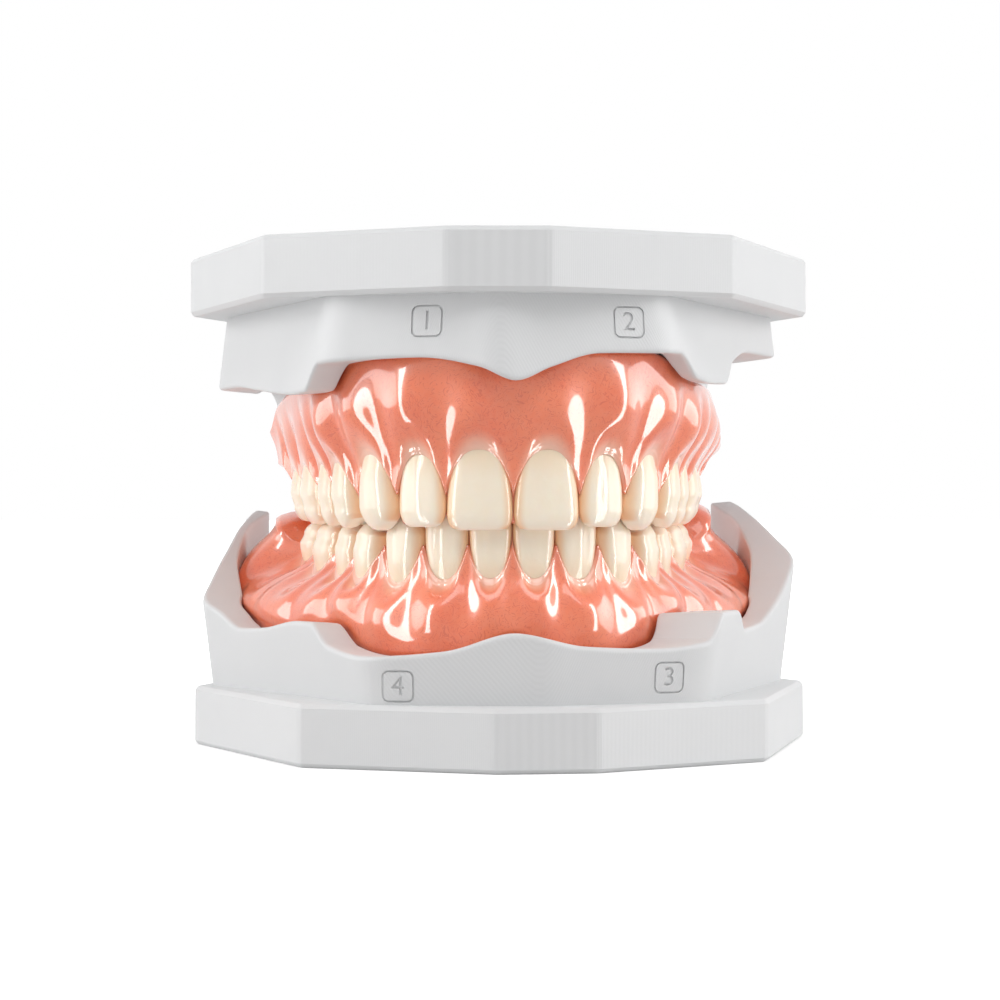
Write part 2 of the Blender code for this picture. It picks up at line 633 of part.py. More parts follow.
def sheet_faces(start, columns, rows, signs):
    """Triangles of a grid of points, cut along mirrored diagonals on the two sides."""
    faces = []
    for i in range(columns - 1):
        for k in range(rows - 1):
            a, b = start + i * rows + k, start + (i + 1) * rows + k
            if signs[i]:
                faces += [(a, b, a + 1), (b, b + 1, a + 1)]
            else:
                faces += [(a, b, b + 1), (a, b + 1, a + 1)]
    return faces


def tooth_mesh(tooth, jaw, name, grow=0.0):
    """One tooth from its rings, closed by a face at each end."""
    vertices, faces = [], []
    rings = tooth.rings(grow)
    for ring in rings:
        for x, out, rise in ring:
            vertices.append((*tooth.plan(x, out), rise))
    n = TOOTH_SIDES
    for i in range(len(rings) - 1):
        for k in range(n):
            a, b = i * n + k, i * n + (k + 1) % n
            faces += [(a, b, b + n), (a, b + n, a + n)]
    faces.append(tuple(range(n)))
    faces.append(tuple(range((len(rings) - 1) * n, len(rings) * n)))
    return mesh_of(name, vertices, faces, jaw.world)


def base_mesh(jaw, name):
    """The pink base: a shiny sheet and a fitting sheet over the same sections, joined all round."""
    columns = jaw.both_sides(jaw.columns)
    sections = [jaw.base_section(s) for s in columns]
    signs = [s >= 0 for s in columns]
    outer_rows, inner_rows = len(sections[0][0]), len(sections[0][1])
    vertices = [p for section in sections for p in section[0]]
    second = len(vertices)
    vertices += [p for section in sections for p in section[1]]
    faces = sheet_faces(0, len(columns), outer_rows, signs)
    faces += sheet_faces(second, len(columns), inner_rows, signs)
    edges = [(0, 0)] if jaw.has_palate else [(0, 0), (outer_rows - 1, inner_rows - 1)]
    for outer, inner in edges:
        for i in range(len(columns) - 1):
            a, b = i * outer_rows + outer, (i + 1) * outer_rows + outer
            c, d = second + (i + 1) * inner_rows + inner, second + i * inner_rows + inner
            faces += [(a, b, c), (a, c, d)]
    for i in (0, len(columns) - 1):
        shiny = [i * outer_rows + k for k in range(outer_rows)]
        fitting = [second + i * inner_rows + k for k in range(inner_rows)]
        faces.append(tuple(shiny + fitting[::-1]))
    return mesh_of(name, vertices, faces, jaw.world)


def body_mesh(jaw, name):
    """The body of a model: its surface over the sections, closed underneath and at the heel."""
    front = FRONT_TEETH * FRONT_COLUMNS
    columns = jaw.both_sides(jaw.columns[:front:2] + jaw.columns[front:] + jaw.heel_columns)
    sections = [jaw.model_section(s) for s in columns]
    signs = [s >= 0 for s in columns]
    rows = len(sections[0])
    vertices = [p for section in sections for p in section]
    faces = sheet_faces(0, len(columns), rows, signs)
    faces.append(tuple(i * rows for i in range(len(columns))))
    last = (len(columns) - 1) * rows
    faces.append(tuple(range(rows)) + tuple(range(last + rows - 1, last - 1, -1)))
    return mesh_of(name, vertices, faces, jaw.world)


def slab_mesh(jaw, name):
    """The flat slab of a model, with its edges taken off."""
    outline = jaw.slab_corners
    n = len(outline)
    vertices = [(x, y, rise) for rise in (jaw.slab_rise, jaw.top_rise) for x, y in outline]
    faces = [tuple(range(n)), tuple(range(n, 2 * n))]
    faces += [(k, (k + 1) % n, (k + 1) % n + n, k + n) for k in range(n)]
    mesh = mesh_of(name, vertices, faces, jaw.world)
    bm = bmesh.new()
    bm.from_mesh(mesh)
    bmesh.ops.bevel(bm, geom=bm.edges[:], offset=SLAB_EDGE * MM, segments=1, affect="EDGES")
    bm.to_mesh(mesh)
    bm.free()
    return mesh


def resting_level(lower, upper):
    """The upper chewing plane's height over the lower one when the first cusps come to their gap."""

    def shape(jaw, sign):
        vertices, faces = [], []
        for tooth in jaw.teeth:
            start = len(vertices)
            rings = tooth.rings()
            for ring in rings:
                vertices += [Vector((*tooth.plan(x, out), sign * rise)) for x, out, rise in ring]
            for i in range(len(rings) - 1):
                for k in range(TOOTH_SIDES):
                    a = start + i * TOOTH_SIDES + k
                    b = start + i * TOOTH_SIDES + (k + 1) % TOOTH_SIDES
                    faces.append((a, b, b + TOOTH_SIDES, a + TOOTH_SIDES))
            faces.append(tuple(range(start, start + TOOTH_SIDES)))
        return vertices, BVHTree.FromPolygons(vertices, faces)

    lower_points, lower_tree = shape(lower, -1)
    upper_points, upper_tree = shape(upper, 1)
    gaps = []
    for points, tree, towards in ((lower_points, upper_tree, 1), (upper_points, lower_tree, -1)):
        for point in points:
            start = Vector((point.x, point.y, -towards * BEYOND))
            hit = tree.ray_cast(start, Vector((0, 0, towards)))[0]
            if hit is not None:
                gaps.append((hit.z - point.z) * towards)
    return BITE_GAP - min(gaps)


def material(name):
    colour, roughness = MATERIALS[name]
    made = bpy.data.materials.new(name)
    made.use_nodes = True
    shader = made.node_tree.nodes["Principled BSDF"]
    shader.inputs["Base Color"].default_value = (*colour, 1.0)
    shader.inputs["Roughness"].default_value = roughness
    shader.inputs["Metallic"].default_value = 0.0
    made.diffuse_color = (*colour, 1.0)
    return made


def add_object(name, mesh, finish=None, smooth_below=SMOOTH_BELOW):
    made = bpy.data.objects.new(name, mesh)
    bpy.context.scene.collection.objects.link(made)
    mesh.shade_smooth()
    mesh.set_sharp_from_angle(angle=math.radians(smooth_below))
    if finish is None:
        made.hide_render = True
        made.display_type = "WIRE"
    else:
        mesh.materials.append(finish)
    return made


def add_boolean(target, operation, other):
    cut = target.modifiers.new(other.name, "BOOLEAN")
    cut.operation = operation
    cut.solver = "EXACT"
    if isinstance(other, bpy.types.Collection):
        cut.operand_type = "COLLECTION"
        cut.collection = other
    else:
        cut.object = other


def add_teeth(jaw, finish):
    for tooth in jaw.teeth:
        name = f"{jaw.name}_{tooth.name}"
        add_object(name, tooth_mesh(tooth, jaw, name), finish)


def add_base(jaw, finish):
    """The pink base, with a socket cut for each tooth."""
    name = f"{jaw.name}_denture_base"
    base = add_object(name, base_mesh(jaw, name), finish)
    sockets = bpy.data.collections.new(f"{jaw.name}_sockets")
    bpy.context.scene.collection.children.link(sockets)
    for tooth in jaw.teeth:
        socket_name = f"{jaw.name}_{tooth.name}_socket"
        socket = add_object(socket_name, tooth_mesh(tooth, jaw, socket_name, SOCKET_GAP))
        bpy.context.scene.collection.objects.unlink(socket)
        sockets.objects.link(socket)
    add_boolean(base, "DIFFERENCE", sockets)


def add_model(jaw, finish):
    """The jaw model: a slab and a body printed as one."""
    name = f"{jaw.name}_model"
    body = add_object(f"{name}_body", body_mesh(jaw, f"{name}_body"))
    model = add_object(name, slab_mesh(jaw, name), finish, MODEL_SMOOTH_BELOW)
    add_boolean(model, "UNION", body)


def both_jaws():
    lower = Jaw(
        "lower", LOWER_ARCH, LOWER_TEETH, LOWER_CURVES, LOWER_RIM, -1, LOWER_MODEL_HEIGHT,
        (LOWER_FRONT_WALL, LOWER_SIDE_WALL), (LOWER_FRONT_STEP, LOWER_SIDE_STEP),
        (LOWER_MODEL_TURN, LOWER_MODEL_SHIFT),
    )
    upper = Jaw(
        "upper", UPPER_ARCH, UPPER_TEETH, UPPER_CURVES, UPPER_RIM, 1, UPPER_MODEL_HEIGHT,
        (UPPER_FRONT_WALL, UPPER_SIDE_WALL), (UPPER_FRONT_STEP, UPPER_SIDE_STEP),
        (UPPER_MODEL_TURN, UPPER_MODEL_SHIFT),
    )
    return lower, upper


def main():
    for thing in list(bpy.data.objects):
        bpy.data.objects.remove(thing, do_unlink=True)
    lower, upper = both_jaws()
    lower.level = LOWER_MODEL_HEIGHT
    upper.level = lower.level + resting_level(lower, upper)
    corners = np.array(lower.slab_corners + upper.slab_corners)
    lower.origin = upper.origin = tuple((corners.min(axis=0) + corners.max(axis=0)) / 2)
    finishes = {name: material(name) for name in MATERIALS}
    for jaw in (lower, upper):
        add_model(jaw, finishes["print"])
        add_base(jaw, finishes["gum_acrylic"])
        add_teeth(jaw, finishes["tooth_acrylic"])


main()
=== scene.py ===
"""Looks of a full denture: two pink bases with cream teeth, seated on two printed jaw models.

The file is laid out as a Blender add-on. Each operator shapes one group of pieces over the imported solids.
Lengths in the tables are in millimetres, and the meshes are in metres. "Out" is the distance from the arch
towards lips and cheeks, and "rise" the height from the chewing plane towards the gum.
"""

import functools
import math

import bmesh
import bpy
import numpy as np
from mathutils import Matrix, Vector


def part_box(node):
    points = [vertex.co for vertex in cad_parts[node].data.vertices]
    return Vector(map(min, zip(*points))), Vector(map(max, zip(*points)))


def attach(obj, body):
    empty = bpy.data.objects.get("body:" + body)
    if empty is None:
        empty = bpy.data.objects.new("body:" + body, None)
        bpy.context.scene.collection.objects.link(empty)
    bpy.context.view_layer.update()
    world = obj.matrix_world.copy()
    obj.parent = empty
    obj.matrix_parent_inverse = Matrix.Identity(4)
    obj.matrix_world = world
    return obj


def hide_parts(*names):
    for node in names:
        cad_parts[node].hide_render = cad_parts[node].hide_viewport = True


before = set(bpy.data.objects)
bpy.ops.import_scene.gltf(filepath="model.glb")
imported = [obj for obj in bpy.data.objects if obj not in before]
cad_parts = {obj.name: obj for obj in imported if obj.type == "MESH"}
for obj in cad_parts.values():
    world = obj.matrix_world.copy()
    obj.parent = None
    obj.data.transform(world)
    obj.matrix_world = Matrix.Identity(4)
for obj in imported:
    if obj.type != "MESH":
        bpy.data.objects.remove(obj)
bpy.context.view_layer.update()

bl_info = {
    "name": "Full denture on jaw models",
    "version": (1, 0, 0),
    "blender": (4, 5, 0),
    "location": "View3D > Sidebar > Denture",
    "description": "Shapes and finishes the teeth, the pink bases and the printed jaw models",
    "category": "Object",
}

MM = 0.001
ROOT = "root"

# The foot of each model's body from above, as half an outline: front, shoulder, side, heel
UPPER_BODY = ((0.0, -6.0), (22.0, 0.5213), (39.7142, 41.0), (35.014, 57.5321))
LOWER_BODY = ((0.0, -4.4), (22.0, 0.5213), (41.9296, 41.0), (33.2973, 58.8217))
HEEL_OVERRUN = 0.3
HEEL_RUN = 6.4
BODY_LEAN = 0.12
BODY_ROOT = 2.0
RIM_WALL = 1.0

# The slab outside the body
SLAB_THICKNESS = 8.3
SLAB_FRONT_HALF_WIDTH = 6.6
SLAB_SHOULDER_HALF_WIDTH = 31.0
SLAB_SHOULDER_SETBACK = 11.6
SLAB_SIDE_SETBACK = 46.0
HEEL_STEP = 1.6
BACK_STEP = 3.4

# Pink base
BASE_THICKNESS = 2.2
TOOTH_SPACING = 0.3
END_RUN = 6.5
TURN_RUN = 2.0
# The gum margin at the necks and between teeth as shares of the crown: inside, then outside the arch
GUM_SHARES = ((0.8, 0.6), (1.0, 0.43))
WEB_SHARE = 0.08
MARGIN_ROUNDNESS = 2.3
PAPILLA_REACH = 0.5
SADDLE_LIFT = 1.5
SADDLE_FROM, SADDLE_RUN = 1.4, 1.6
WEB_FROM, WEB_COVER = 0.6, 0.2
INNER_BULGE = 0.6
RIDGE_FULLNESS = 0.8
CREST_FLAT = 0.35
CREST_ROUND = 0.3
BORDER_ROLL = 1.2
BORDER_GAP = 0.525
SEAT_GAP = 0.35
PALATE_THICKNESS = 2.3
PALATE_EDGE_THICKNESS = 2.6
RIM_FALL = 0.3
SHOULDER_SHARE = 0.92
RIM_STEP = 0.3
HAIR, NEAR = 1e-9, 1e-6

# Chewing faces
CUSP_SPREAD = 0.46
FOSSA_DROP = 1.6
LABIAL_SQUARENESS = 2.6
LINGUAL_SQUARENESS = 2.1

UPPER_ARCH = (0.0, 17.0, (20.5, 12.0), (25.8, 42.0))
LOWER_ARCH = (2.4, 14.0, (18.6, 13.0), (24.0, 43.0))

INCISOR_WALL = (
    (0.00, 0.68, 0.50, 0.05),
    (0.025, 0.82, 0.60, 0.09),
    (0.07, 0.93, 0.78, 0.17),
    (0.20, 1.00, 0.96, 0.33),
    (0.45, 0.97, 1.00, 0.55),
    (0.75, 0.86, 0.93, 0.84),
    (1.00, 0.73, 0.68, 1.00),
    (1.20, 0.62, 0.44, 0.86),
)
LATERAL_WALL = (
    (0.00, 0.56, 0.50, 0.05),
    (0.03, 0.72, 0.60, 0.09),
    (0.09, 0.88, 0.78, 0.17),
    (0.24, 1.00, 0.96, 0.33),
    (0.48, 0.98, 1.00, 0.55),
    (0.75, 0.88, 0.93, 0.84),
    (1.00, 0.74, 0.68, 1.00),
    (1.20, 0.62, 0.44, 0.86),
)
CANINE_WALL = (
    (0.00, 0.24, 0.42, 0.05),
    (0.03, 0.42, 0.52, 0.10),
    (0.11, 0.70, 0.74, 0.22),
    (0.32, 1.00, 0.97, 0.46),
    (0.64, 0.93, 1.00, 0.80),
    (1.00, 0.78, 0.80, 1.00),
    (1.20, 0.66, 0.60, 0.88),
)
CHEEK_TOOTH_WALL = (
    (0.26, 0.92, 0.88, 0.92),
    (0.54, 1.00, 1.00, 1.00),
    (1.00, 0.86, 0.90, 0.88),
    (1.22, 0.76, 0.76, 0.76),
)
UPPER_PREMOLAR_CUSPS = ((0.0, 0.52, 0.0), (0.0, -0.52, 0.2))
LOWER_PREMOLAR_CUSPS = ((0.0, 0.50, 0.0), (0.0, -0.52, 0.6))
MOLAR_CUSPS = ((-0.5, 0.56, 0.0), (0.5, 0.56, 0.1), (-0.5, -0.56, 0.2), (0.5, -0.56, 0.3))

# Teeth from the midline back: name, wall, cusps, width, outer reach, inner reach, crown, drop of the tip
UPPER_TEETH = (
    ("central_incisor", INCISOR_WALL, (), 8.3, 1.6, 4.8, 10.4, 0.0),
    ("lateral_incisor", LATERAL_WALL, (), 6.8, 1.6, 4.3, 9.4, 0.4),
    ("canine", CANINE_WALL, (), 7.6, 3.0, 4.6, 9.8, -0.1),
    ("first_premolar", CHEEK_TOOTH_WALL, UPPER_PREMOLAR_CUSPS, 7.0, 3.8, 4.6, 8.5, 0.2),
    ("second_premolar", CHEEK_TOOTH_WALL, UPPER_PREMOLAR_CUSPS, 6.7, 3.8, 4.6, 8.2, 0.4),
    ("first_molar", CHEEK_TOOTH_WALL, MOLAR_CUSPS, 9.8, 4.5, 5.4, 7.8, 0.7),
    ("second_molar", CHEEK_TOOTH_WALL, MOLAR_CUSPS, 9.0, 4.3, 5.0, 7.0, 1.1),
)
LOWER_TEETH = (
    ("central_incisor", INCISOR_WALL, (), 5.3, 1.4, 3.8, 8.4, -0.4),
    ("lateral_incisor", LATERAL_WALL, (), 5.9, 1.4, 3.9, 8.7, -0.5),
    ("canine", CANINE_WALL, (), 6.9, 2.4, 4.2, 8.9, -0.3),
    ("first_premolar", CHEEK_TOOTH_WALL, LOWER_PREMOLAR_CUSPS, 7.0, 3.6, 3.8, 7.2, 0.9),
    ("second_premolar", CHEEK_TOOTH_WALL, LOWER_PREMOLAR_CUSPS, 7.2, 3.8, 4.0, 6.9, 1.0),
    ("first_molar", CHEEK_TOOTH_WALL, MOLAR_CUSPS, 10.5, 4.8, 4.8, 6.4, 1.2),
    ("second_molar", CHEEK_TOOTH_WALL, MOLAR_CUSPS, 9.8, 4.8, 4.8, 5.2, 1.3),
)

# Curves of the bases and models along the arch, each a list of (length from the midline, value)
UPPER_CURVES = {
    "border_rise": (
        (0, 20.4), (4, 22.6), (8, 23.6), (15, 23.6), (22, 22.2), (26, 20.4), (40, 19.8), (56, 18.0),
        (64, 15.0), (72, 21.0),
    ),
    "border_out": (
        (0, 3.5), (8, 3.9), (15, 4.6), (22, 5.4), (30, 6.0), (42, 6.2), (52, 6.1), (64, 5.9), (72, 6.6),
    ),
    "flange_bulge": ((0, 0.2), (10, 0.5), (30, 0.7), (63, 0.9)),
    "crest_out": ((0, -2.6), (15, -2.2), (25, -1.0), (40, -0.4), (64, 0.0), (72, 3.6)),
    "crest_rise": ((0, 15.2), (10, 14.6), (20, 14.6), (30, 13.0), (45, 12.2), (63, 11.2)),
    "inner_out": ((0, -6.4), (15, -6.2), (25, -6.6), (45, -7.4), (63, -7.0)),
    "inner_rise": ((0, 12.4), (25, 12.2), (45, 11.6), (63, 11.4)),
    "midline_depth": ((0, 11.0), (8, 14.0), (15, 18.0), (23, 23.0), (32, 30.0), (42, 38.0)),
    "midline_rise": ((0, 14.6), (8, 16.8), (15, 18.6), (23, 20.2), (32, 21.2), (42, 21.4), (63, 21.4)),
    "end_margin": ((55, 4.6, 8.6), (63, 4.6, 9.2)),
    "end_saddle": ((55, 0.0, 7.4), (63, 0.0, 8.6)),
    "end_lingual": ((55, -4.6, 7.8), (63, -4.6, 9.0)),
}
LOWER_CURVES = {
    "border_rise": (
        (0, 15.6), (4, 17.2), (8, 18.4), (15, 18.6), (20, 17.6), (24, 15.6), (32, 16.4), (44, 16.2),
        (55, 14.6), (62, 12.0),
    ),
    "border_out": (
        (0, 3.0), (8, 3.3), (15, 4.2), (22, 5.4), (30, 8.0), (38, 10.6), (46, 12.2), (55, 12.6), (61, 10.6),
        (69, 6.0),
    ),
    "flange_bulge": ((0, 0.2), (12, 0.7), (24, 0.6), (34, 1.0), (50, 1.6), (62, 1.6)),
    "crest_out": ((0, -1.8), (15, -1.4), (30, 0.0), (45, 0.8), (62, 1.5)),
    "crest_rise": (
        (0, 12.4), (12, 13.0), (20, 12.6), (30, 11.4), (42, 10.2), (50, 9.0), (56, 7.0), (62, 5.0),
    ),
    "inner_out": ((0, -5.6), (15, -5.6), (30, -6.0), (45, -7.4), (62, -6.4)),
    "inner_rise": ((0, 17.0), (15, 17.0), (30, 17.4), (45, 17.0), (55, 15.0), (62, 11.0)),
    "midline_depth": ((0, 14.0), (8, 17.0), (15, 21.0), (23, 26.0), (32, 33.0), (42, 41.0)),
    "midline_rise": ((0, 20.0), (62, 20.0)),
    "end_margin": ((53, 5.0, 5.8), (57, 7.2, 2.8), (62, 6.6, 1.4)),
    "end_saddle": ((53, 0.4, 5.2), (57, 1.6, 2.2), (62, 1.4, 1.0)),
    "end_lingual": ((53, -4.0, 6.2), (57, -3.6, 4.0), (62, -3.2, 3.4)),
}
UPPER_RIM = (
    (-90, 19.8), (-50, 19.8), (-40, 19.0), (-25, 17.8), (-21.5, 18.0), (-19, 21.4), (-10, 22.0), (-4, 20.8),
    (0, 19.0), (4, 20.8), (9, 22.6), (17, 22.8), (21, 19.8), (25, 19.4), (31, 19.6), (35, 22.8), (42, 24.5),
    (90, 24.5),
)
LOWER_RIM = (
    (-90, -1.0), (-69, -0.8), (-62, 1.6), (-57, 5.6), (-50, 11.8), (-45, 13.6), (-40, 15.6), (-34, 15.3),
    (-25, 14.0), (-22, 14.0), (-19, 16.8), (-13, 17.9), (-7, 17.2), (0, 14.8), (7, 16.6), (13, 17.0),
    (16.5, 16.2), (19, 12.6), (25, 12.6), (30, 15.4), (38, 15.0), (45, 13.0), (50, 10.6), (57, 4.6),
    (62, 0.6), (69, -2.2), (90, -3.0),
)
# Each jaw: arch, teeth, curves, rim, direction, height, body, slab's steps at front and side, turn and shift
UPPER = (
    "upper", UPPER_ARCH, UPPER_TEETH, UPPER_CURVES, UPPER_RIM, 1, 38.6, UPPER_BODY, (2.0, 4.7), (-3.0, -0.6),
)
LOWER = (
    "lower", LOWER_ARCH, LOWER_TEETH, LOWER_CURVES, LOWER_RIM, -1, 32.5, LOWER_BODY, (3.6, 2.3), (4.0, 1.5),
)

# Fineness of the shaped meshes
TOOTH_SIDES = 56
WALL_RINGS = 30
EDGE_RINGS = 5
CHEWING_RINGS = 10
# Share of a tooth's half width where the painted shade between touching teeth begins
INTERDENTAL_SHADE_FROM = 0.66
HALO_WIDTH = 3.4
HALO_NARROWING = 0.8
ROLL_TURN = math.pi * 0.75
END_TURNS = 6
FIBRE_SHAPE = (0.28, 5.5, 5.5)
FIBRE_SWAY = (3.5, 3.5, 3.5)
FIBRE_TURNS = ((0.0, 0.35, 0.2), (0.0, -0.9, -0.3), (0.4, 1.5, 0.6), (0.2, 0.1, 1.3))
PALATE_CURVE = 2.32
SUPPORT = 0.15
ROUND_POINTS = 8
CORNER_SHIFTS = (-1.6, -0.8, 0.0, 0.8, 1.6)
CORNER_WEIGHTS = (0.12, 0.22, 0.32, 0.22, 0.12)


def smooth_through(stations, at, column=1):
    """A smooth value at each place in `at`, through stations of (place, value), with no overshoot."""
    places = np.array([s[0] for s in stations], float)
    values = np.array([s[column] for s in stations], float)
    run = np.diff(values) / np.diff(places)
    slopes = np.zeros(len(places))
    same_way = run[1:] * run[:-1] > 0
    slopes[1:-1][same_way] = 2 * run[1:][same_way] * run[:-1][same_way] / (run[1:] + run[:-1])[same_way]
    at = np.clip(np.asarray(at, float), places[0], places[-1])
    i = np.clip(np.searchsorted(places, at) - 1, 0, len(places) - 2)
    span = places[i + 1] - places[i]
    t = (at - places[i]) / span
    return (
        (2 * t**3 - 3 * t**2 + 1) * values[i]
        + (t**3 - 2 * t**2 + t) * slopes[i] * span
        + (3 * t**2 - 2 * t**3) * values[i + 1]
        + (t**3 - t**2) * slopes[i + 1] * span
    )


def ease(t):
    """0 to 1 with no corner at either end."""
    t = np.clip(t, 0.0, 1.0)
    return t * t * (3 - 2 * t)


class Arch:
    """A dental arch from above: one cubic curve a side, walked by length from the midline."""

    FINENESS = 600
    STEP = 0.4

    def __init__(self, front_depth, front_reach, corner, back, turn_over):
        controls = np.array([(0.0, front_depth), (front_reach, front_depth), corner, back])
        t = np.linspace(0, 1, self.FINENESS)[:, None]
        weights = ((1 - t) ** 3, 3 * t * (1 - t) ** 2, 3 * t**2 * (1 - t), t**3)
        self.points = sum(w * p for w, p in zip(weights, controls))
        steps = np.linalg.norm(np.diff(self.points, axis=0), axis=1)
        self.lengths = np.concatenate([[0], np.cumsum(steps)])
        self.turn_over = turn_over

    def side_place(self, length):
        """A point on the viewer's right, where a negative length crosses the midline."""
        if length <= self.lengths[-1]:
            x, y = (np.interp(abs(length), self.lengths, self.points[:, k]) for k in (0, 1))
            return np.array([math.copysign(x, length), y])
        run = self.points[-1] - self.points[-2]
        run = run / np.linalg.norm(run)
        return self.points[-1] + run * (length - self.lengths[-1])

    def place(self, s):
        """(point, direction along, direction out) at a signed length, negative to the viewer's left."""
        side, length = (-1.0 if s < 0 else 1.0), abs(s)
        point = self.side_place(length)
        run = self.side_place(length + self.STEP) - self.side_place(length - self.STEP)
        run = run / np.linalg.norm(run)
        start, end = self.turn_over
        blend = np.clip((length - start) / (end - start), 0, 1)
        run = run * (1 - blend) + np.array([0.0, 1.0]) * blend
        run = run / np.linalg.norm(run)
        along = np.array([run[0], side * run[1]])
        return np.array([side * point[0], point[1]]), along, np.array([along[1], -along[0]])


class Tooth:
    """One tooth at its own length along its arch."""

    EDGE_ROUND = 0.32
    LOBE = 0.05
    LOBE_END = 0.9
    CONTACT = 0.12
    SHOULDER = 0.38
    ROUND_FACE = 2.08
    GROOVE_DEPTH, GROOVE_WIDTH = 0.22, 0.35
    CROSS_GROOVE_DEPTH = 0.2
    GROOVE_REACH, CROSS_GROOVE_REACH = 0.36, 0.8
    FIRST_RING, FIRST_ANGLE = 0.04, 0.12

    def __init__(self, arch, side, s, spec):
        name, self.wall, self.cusps, self.width, self.outer, self.inner, self.crown, self.tip = spec
        self.name = ("left_" if side > 0 else "right_") + name
        self.side, self.s = side, side * s
        self.centre, self.along, self.out = arch.place(self.s)
        self.squareness = self.ROUND_FACE if "lateral" in name or "canine" in name else LABIAL_SQUARENESS

    def reach(self, rise, grow=0.0):
        """Half width and reach outwards and inwards at a rise."""
        share = (np.asarray(rise, float) - self.tip) / self.crown
        sizes = enumerate((self.width / 2, self.outer, self.inner), 1)
        return [smooth_through(self.wall, share, k) * size + grow for k, size in sizes]

    def face(self, x, rise, outside):
        """How far out the tooth's face lies at a rise, x along from its middle."""
        half, outer, inner = self.reach(rise)
        squareness = self.squareness if outside else LINGUAL_SQUARENESS
        left = np.maximum(1 - np.abs(x / half) ** squareness, 0) ** (1 / squareness)
        return (outer if outside else -inner) * left

    def plan(self, x, out):
        return self.centre + self.along * x + self.out * out

    def hollow(self, across, along):
        """The share of a groove's depth, across it and towards its ends."""
        return np.exp(-((across / self.GROOVE_WIDTH) ** 2)) * np.exp(-(along**4))

    def ring(self, rise, grow=0.0):
        """A closed ring of (along, out) at a rise."""
        half, outer, inner = self.reach(rise, grow)
        half = half + self.CONTACT
        angles = 2 * np.pi * np.arange(TOOTH_SIDES) / TOOTH_SIDES
        c, s = np.cos(angles), np.sin(angles)
        power = np.where(s > 0, 2 / self.squareness, 2 / LINGUAL_SQUARENESS)
        x = half * np.copysign(np.abs(c) ** power, c)
        out = np.where(s > 0, outer, inner) * np.copysign(np.abs(s) ** power, s)
        share = min((rise - self.tip) / self.crown, self.LOBE_END) / self.LOBE_END
        lobes = np.cos(3 * np.pi * x / half) * (1 - (x / half) ** 2) * math.sin(math.pi * share)
        return np.stack([x, out + np.where(s > 0, self.LOBE * lobes, 0.0)], axis=1)

    def chewing_drop(self, x, out):
        """How far the chewing face lies above the cusp tips."""
        drop = np.full_like(x, FOSSA_DROP)
        for away, towards_cheek, tip_drop in self.cusps:
            cusp_x = self.side * away * self.width / 2
            cusp_out = towards_cheek * (self.outer if towards_cheek > 0 else self.inner)
            far = np.hypot((x - cusp_x) / (self.width / 2), (out - cusp_out) / self.outer)
            drop -= (FOSSA_DROP - tip_drop) * np.exp(-((far / CUSP_SPREAD) ** 2) / 2)
        groove = self.GROOVE_DEPTH * self.hollow(out, x / (self.GROOVE_REACH * self.width))
        if len(self.cusps) > 2:
            groove += self.CROSS_GROOVE_DEPTH * self.hollow(x, out / (self.CROSS_GROOVE_REACH * self.outer))
        return drop + groove

    def rings(self):
        """Rings of (along, out, rise) from the chewing end to the root, closed at both ends."""
        made = []
        wall_from = self.tip + self.wall[0][0] * self.crown
        if self.cusps:
            shoulder = self.ring(wall_from)
            flat_until = 1 - self.FIRST_RING - self.SHOULDER
            inside = [(shrink, 1.0) for shrink in np.linspace(self.FIRST_RING, flat_until, CHEWING_RINGS)]
            angles = np.linspace(math.pi / 2, self.FIRST_ANGLE, CHEWING_RINGS)
            over = [(1 - self.SHOULDER * (1 - math.cos(a)), math.sin(a)) for a in angles]
            for shrink, weight in inside + over:
                flat = shoulder * shrink
                drop = self.chewing_drop(flat[:, 0], flat[:, 1])
                rise = self.tip + drop * weight + (wall_from - self.tip) * (1 - weight)
                made.append(np.column_stack([flat, rise]))
        else:
            for k in range(EDGE_RINGS):
                angle = math.pi / 2 * k / EDGE_RINGS
                rise = self.tip + self.EDGE_ROUND * (1 - math.cos(angle))
                flat = self.ring(rise, -self.EDGE_ROUND * (1 - math.sin(angle)))
                made.append(np.column_stack([flat, np.full(TOOTH_SIDES, rise)]))
            wall_from += self.EDGE_ROUND
        for rise in np.linspace(wall_from, self.tip + self.wall[-1][0] * self.crown, WALL_RINGS):
            made.append(np.column_stack([self.ring(rise), np.full(TOOTH_SIDES, rise)]))
        return made


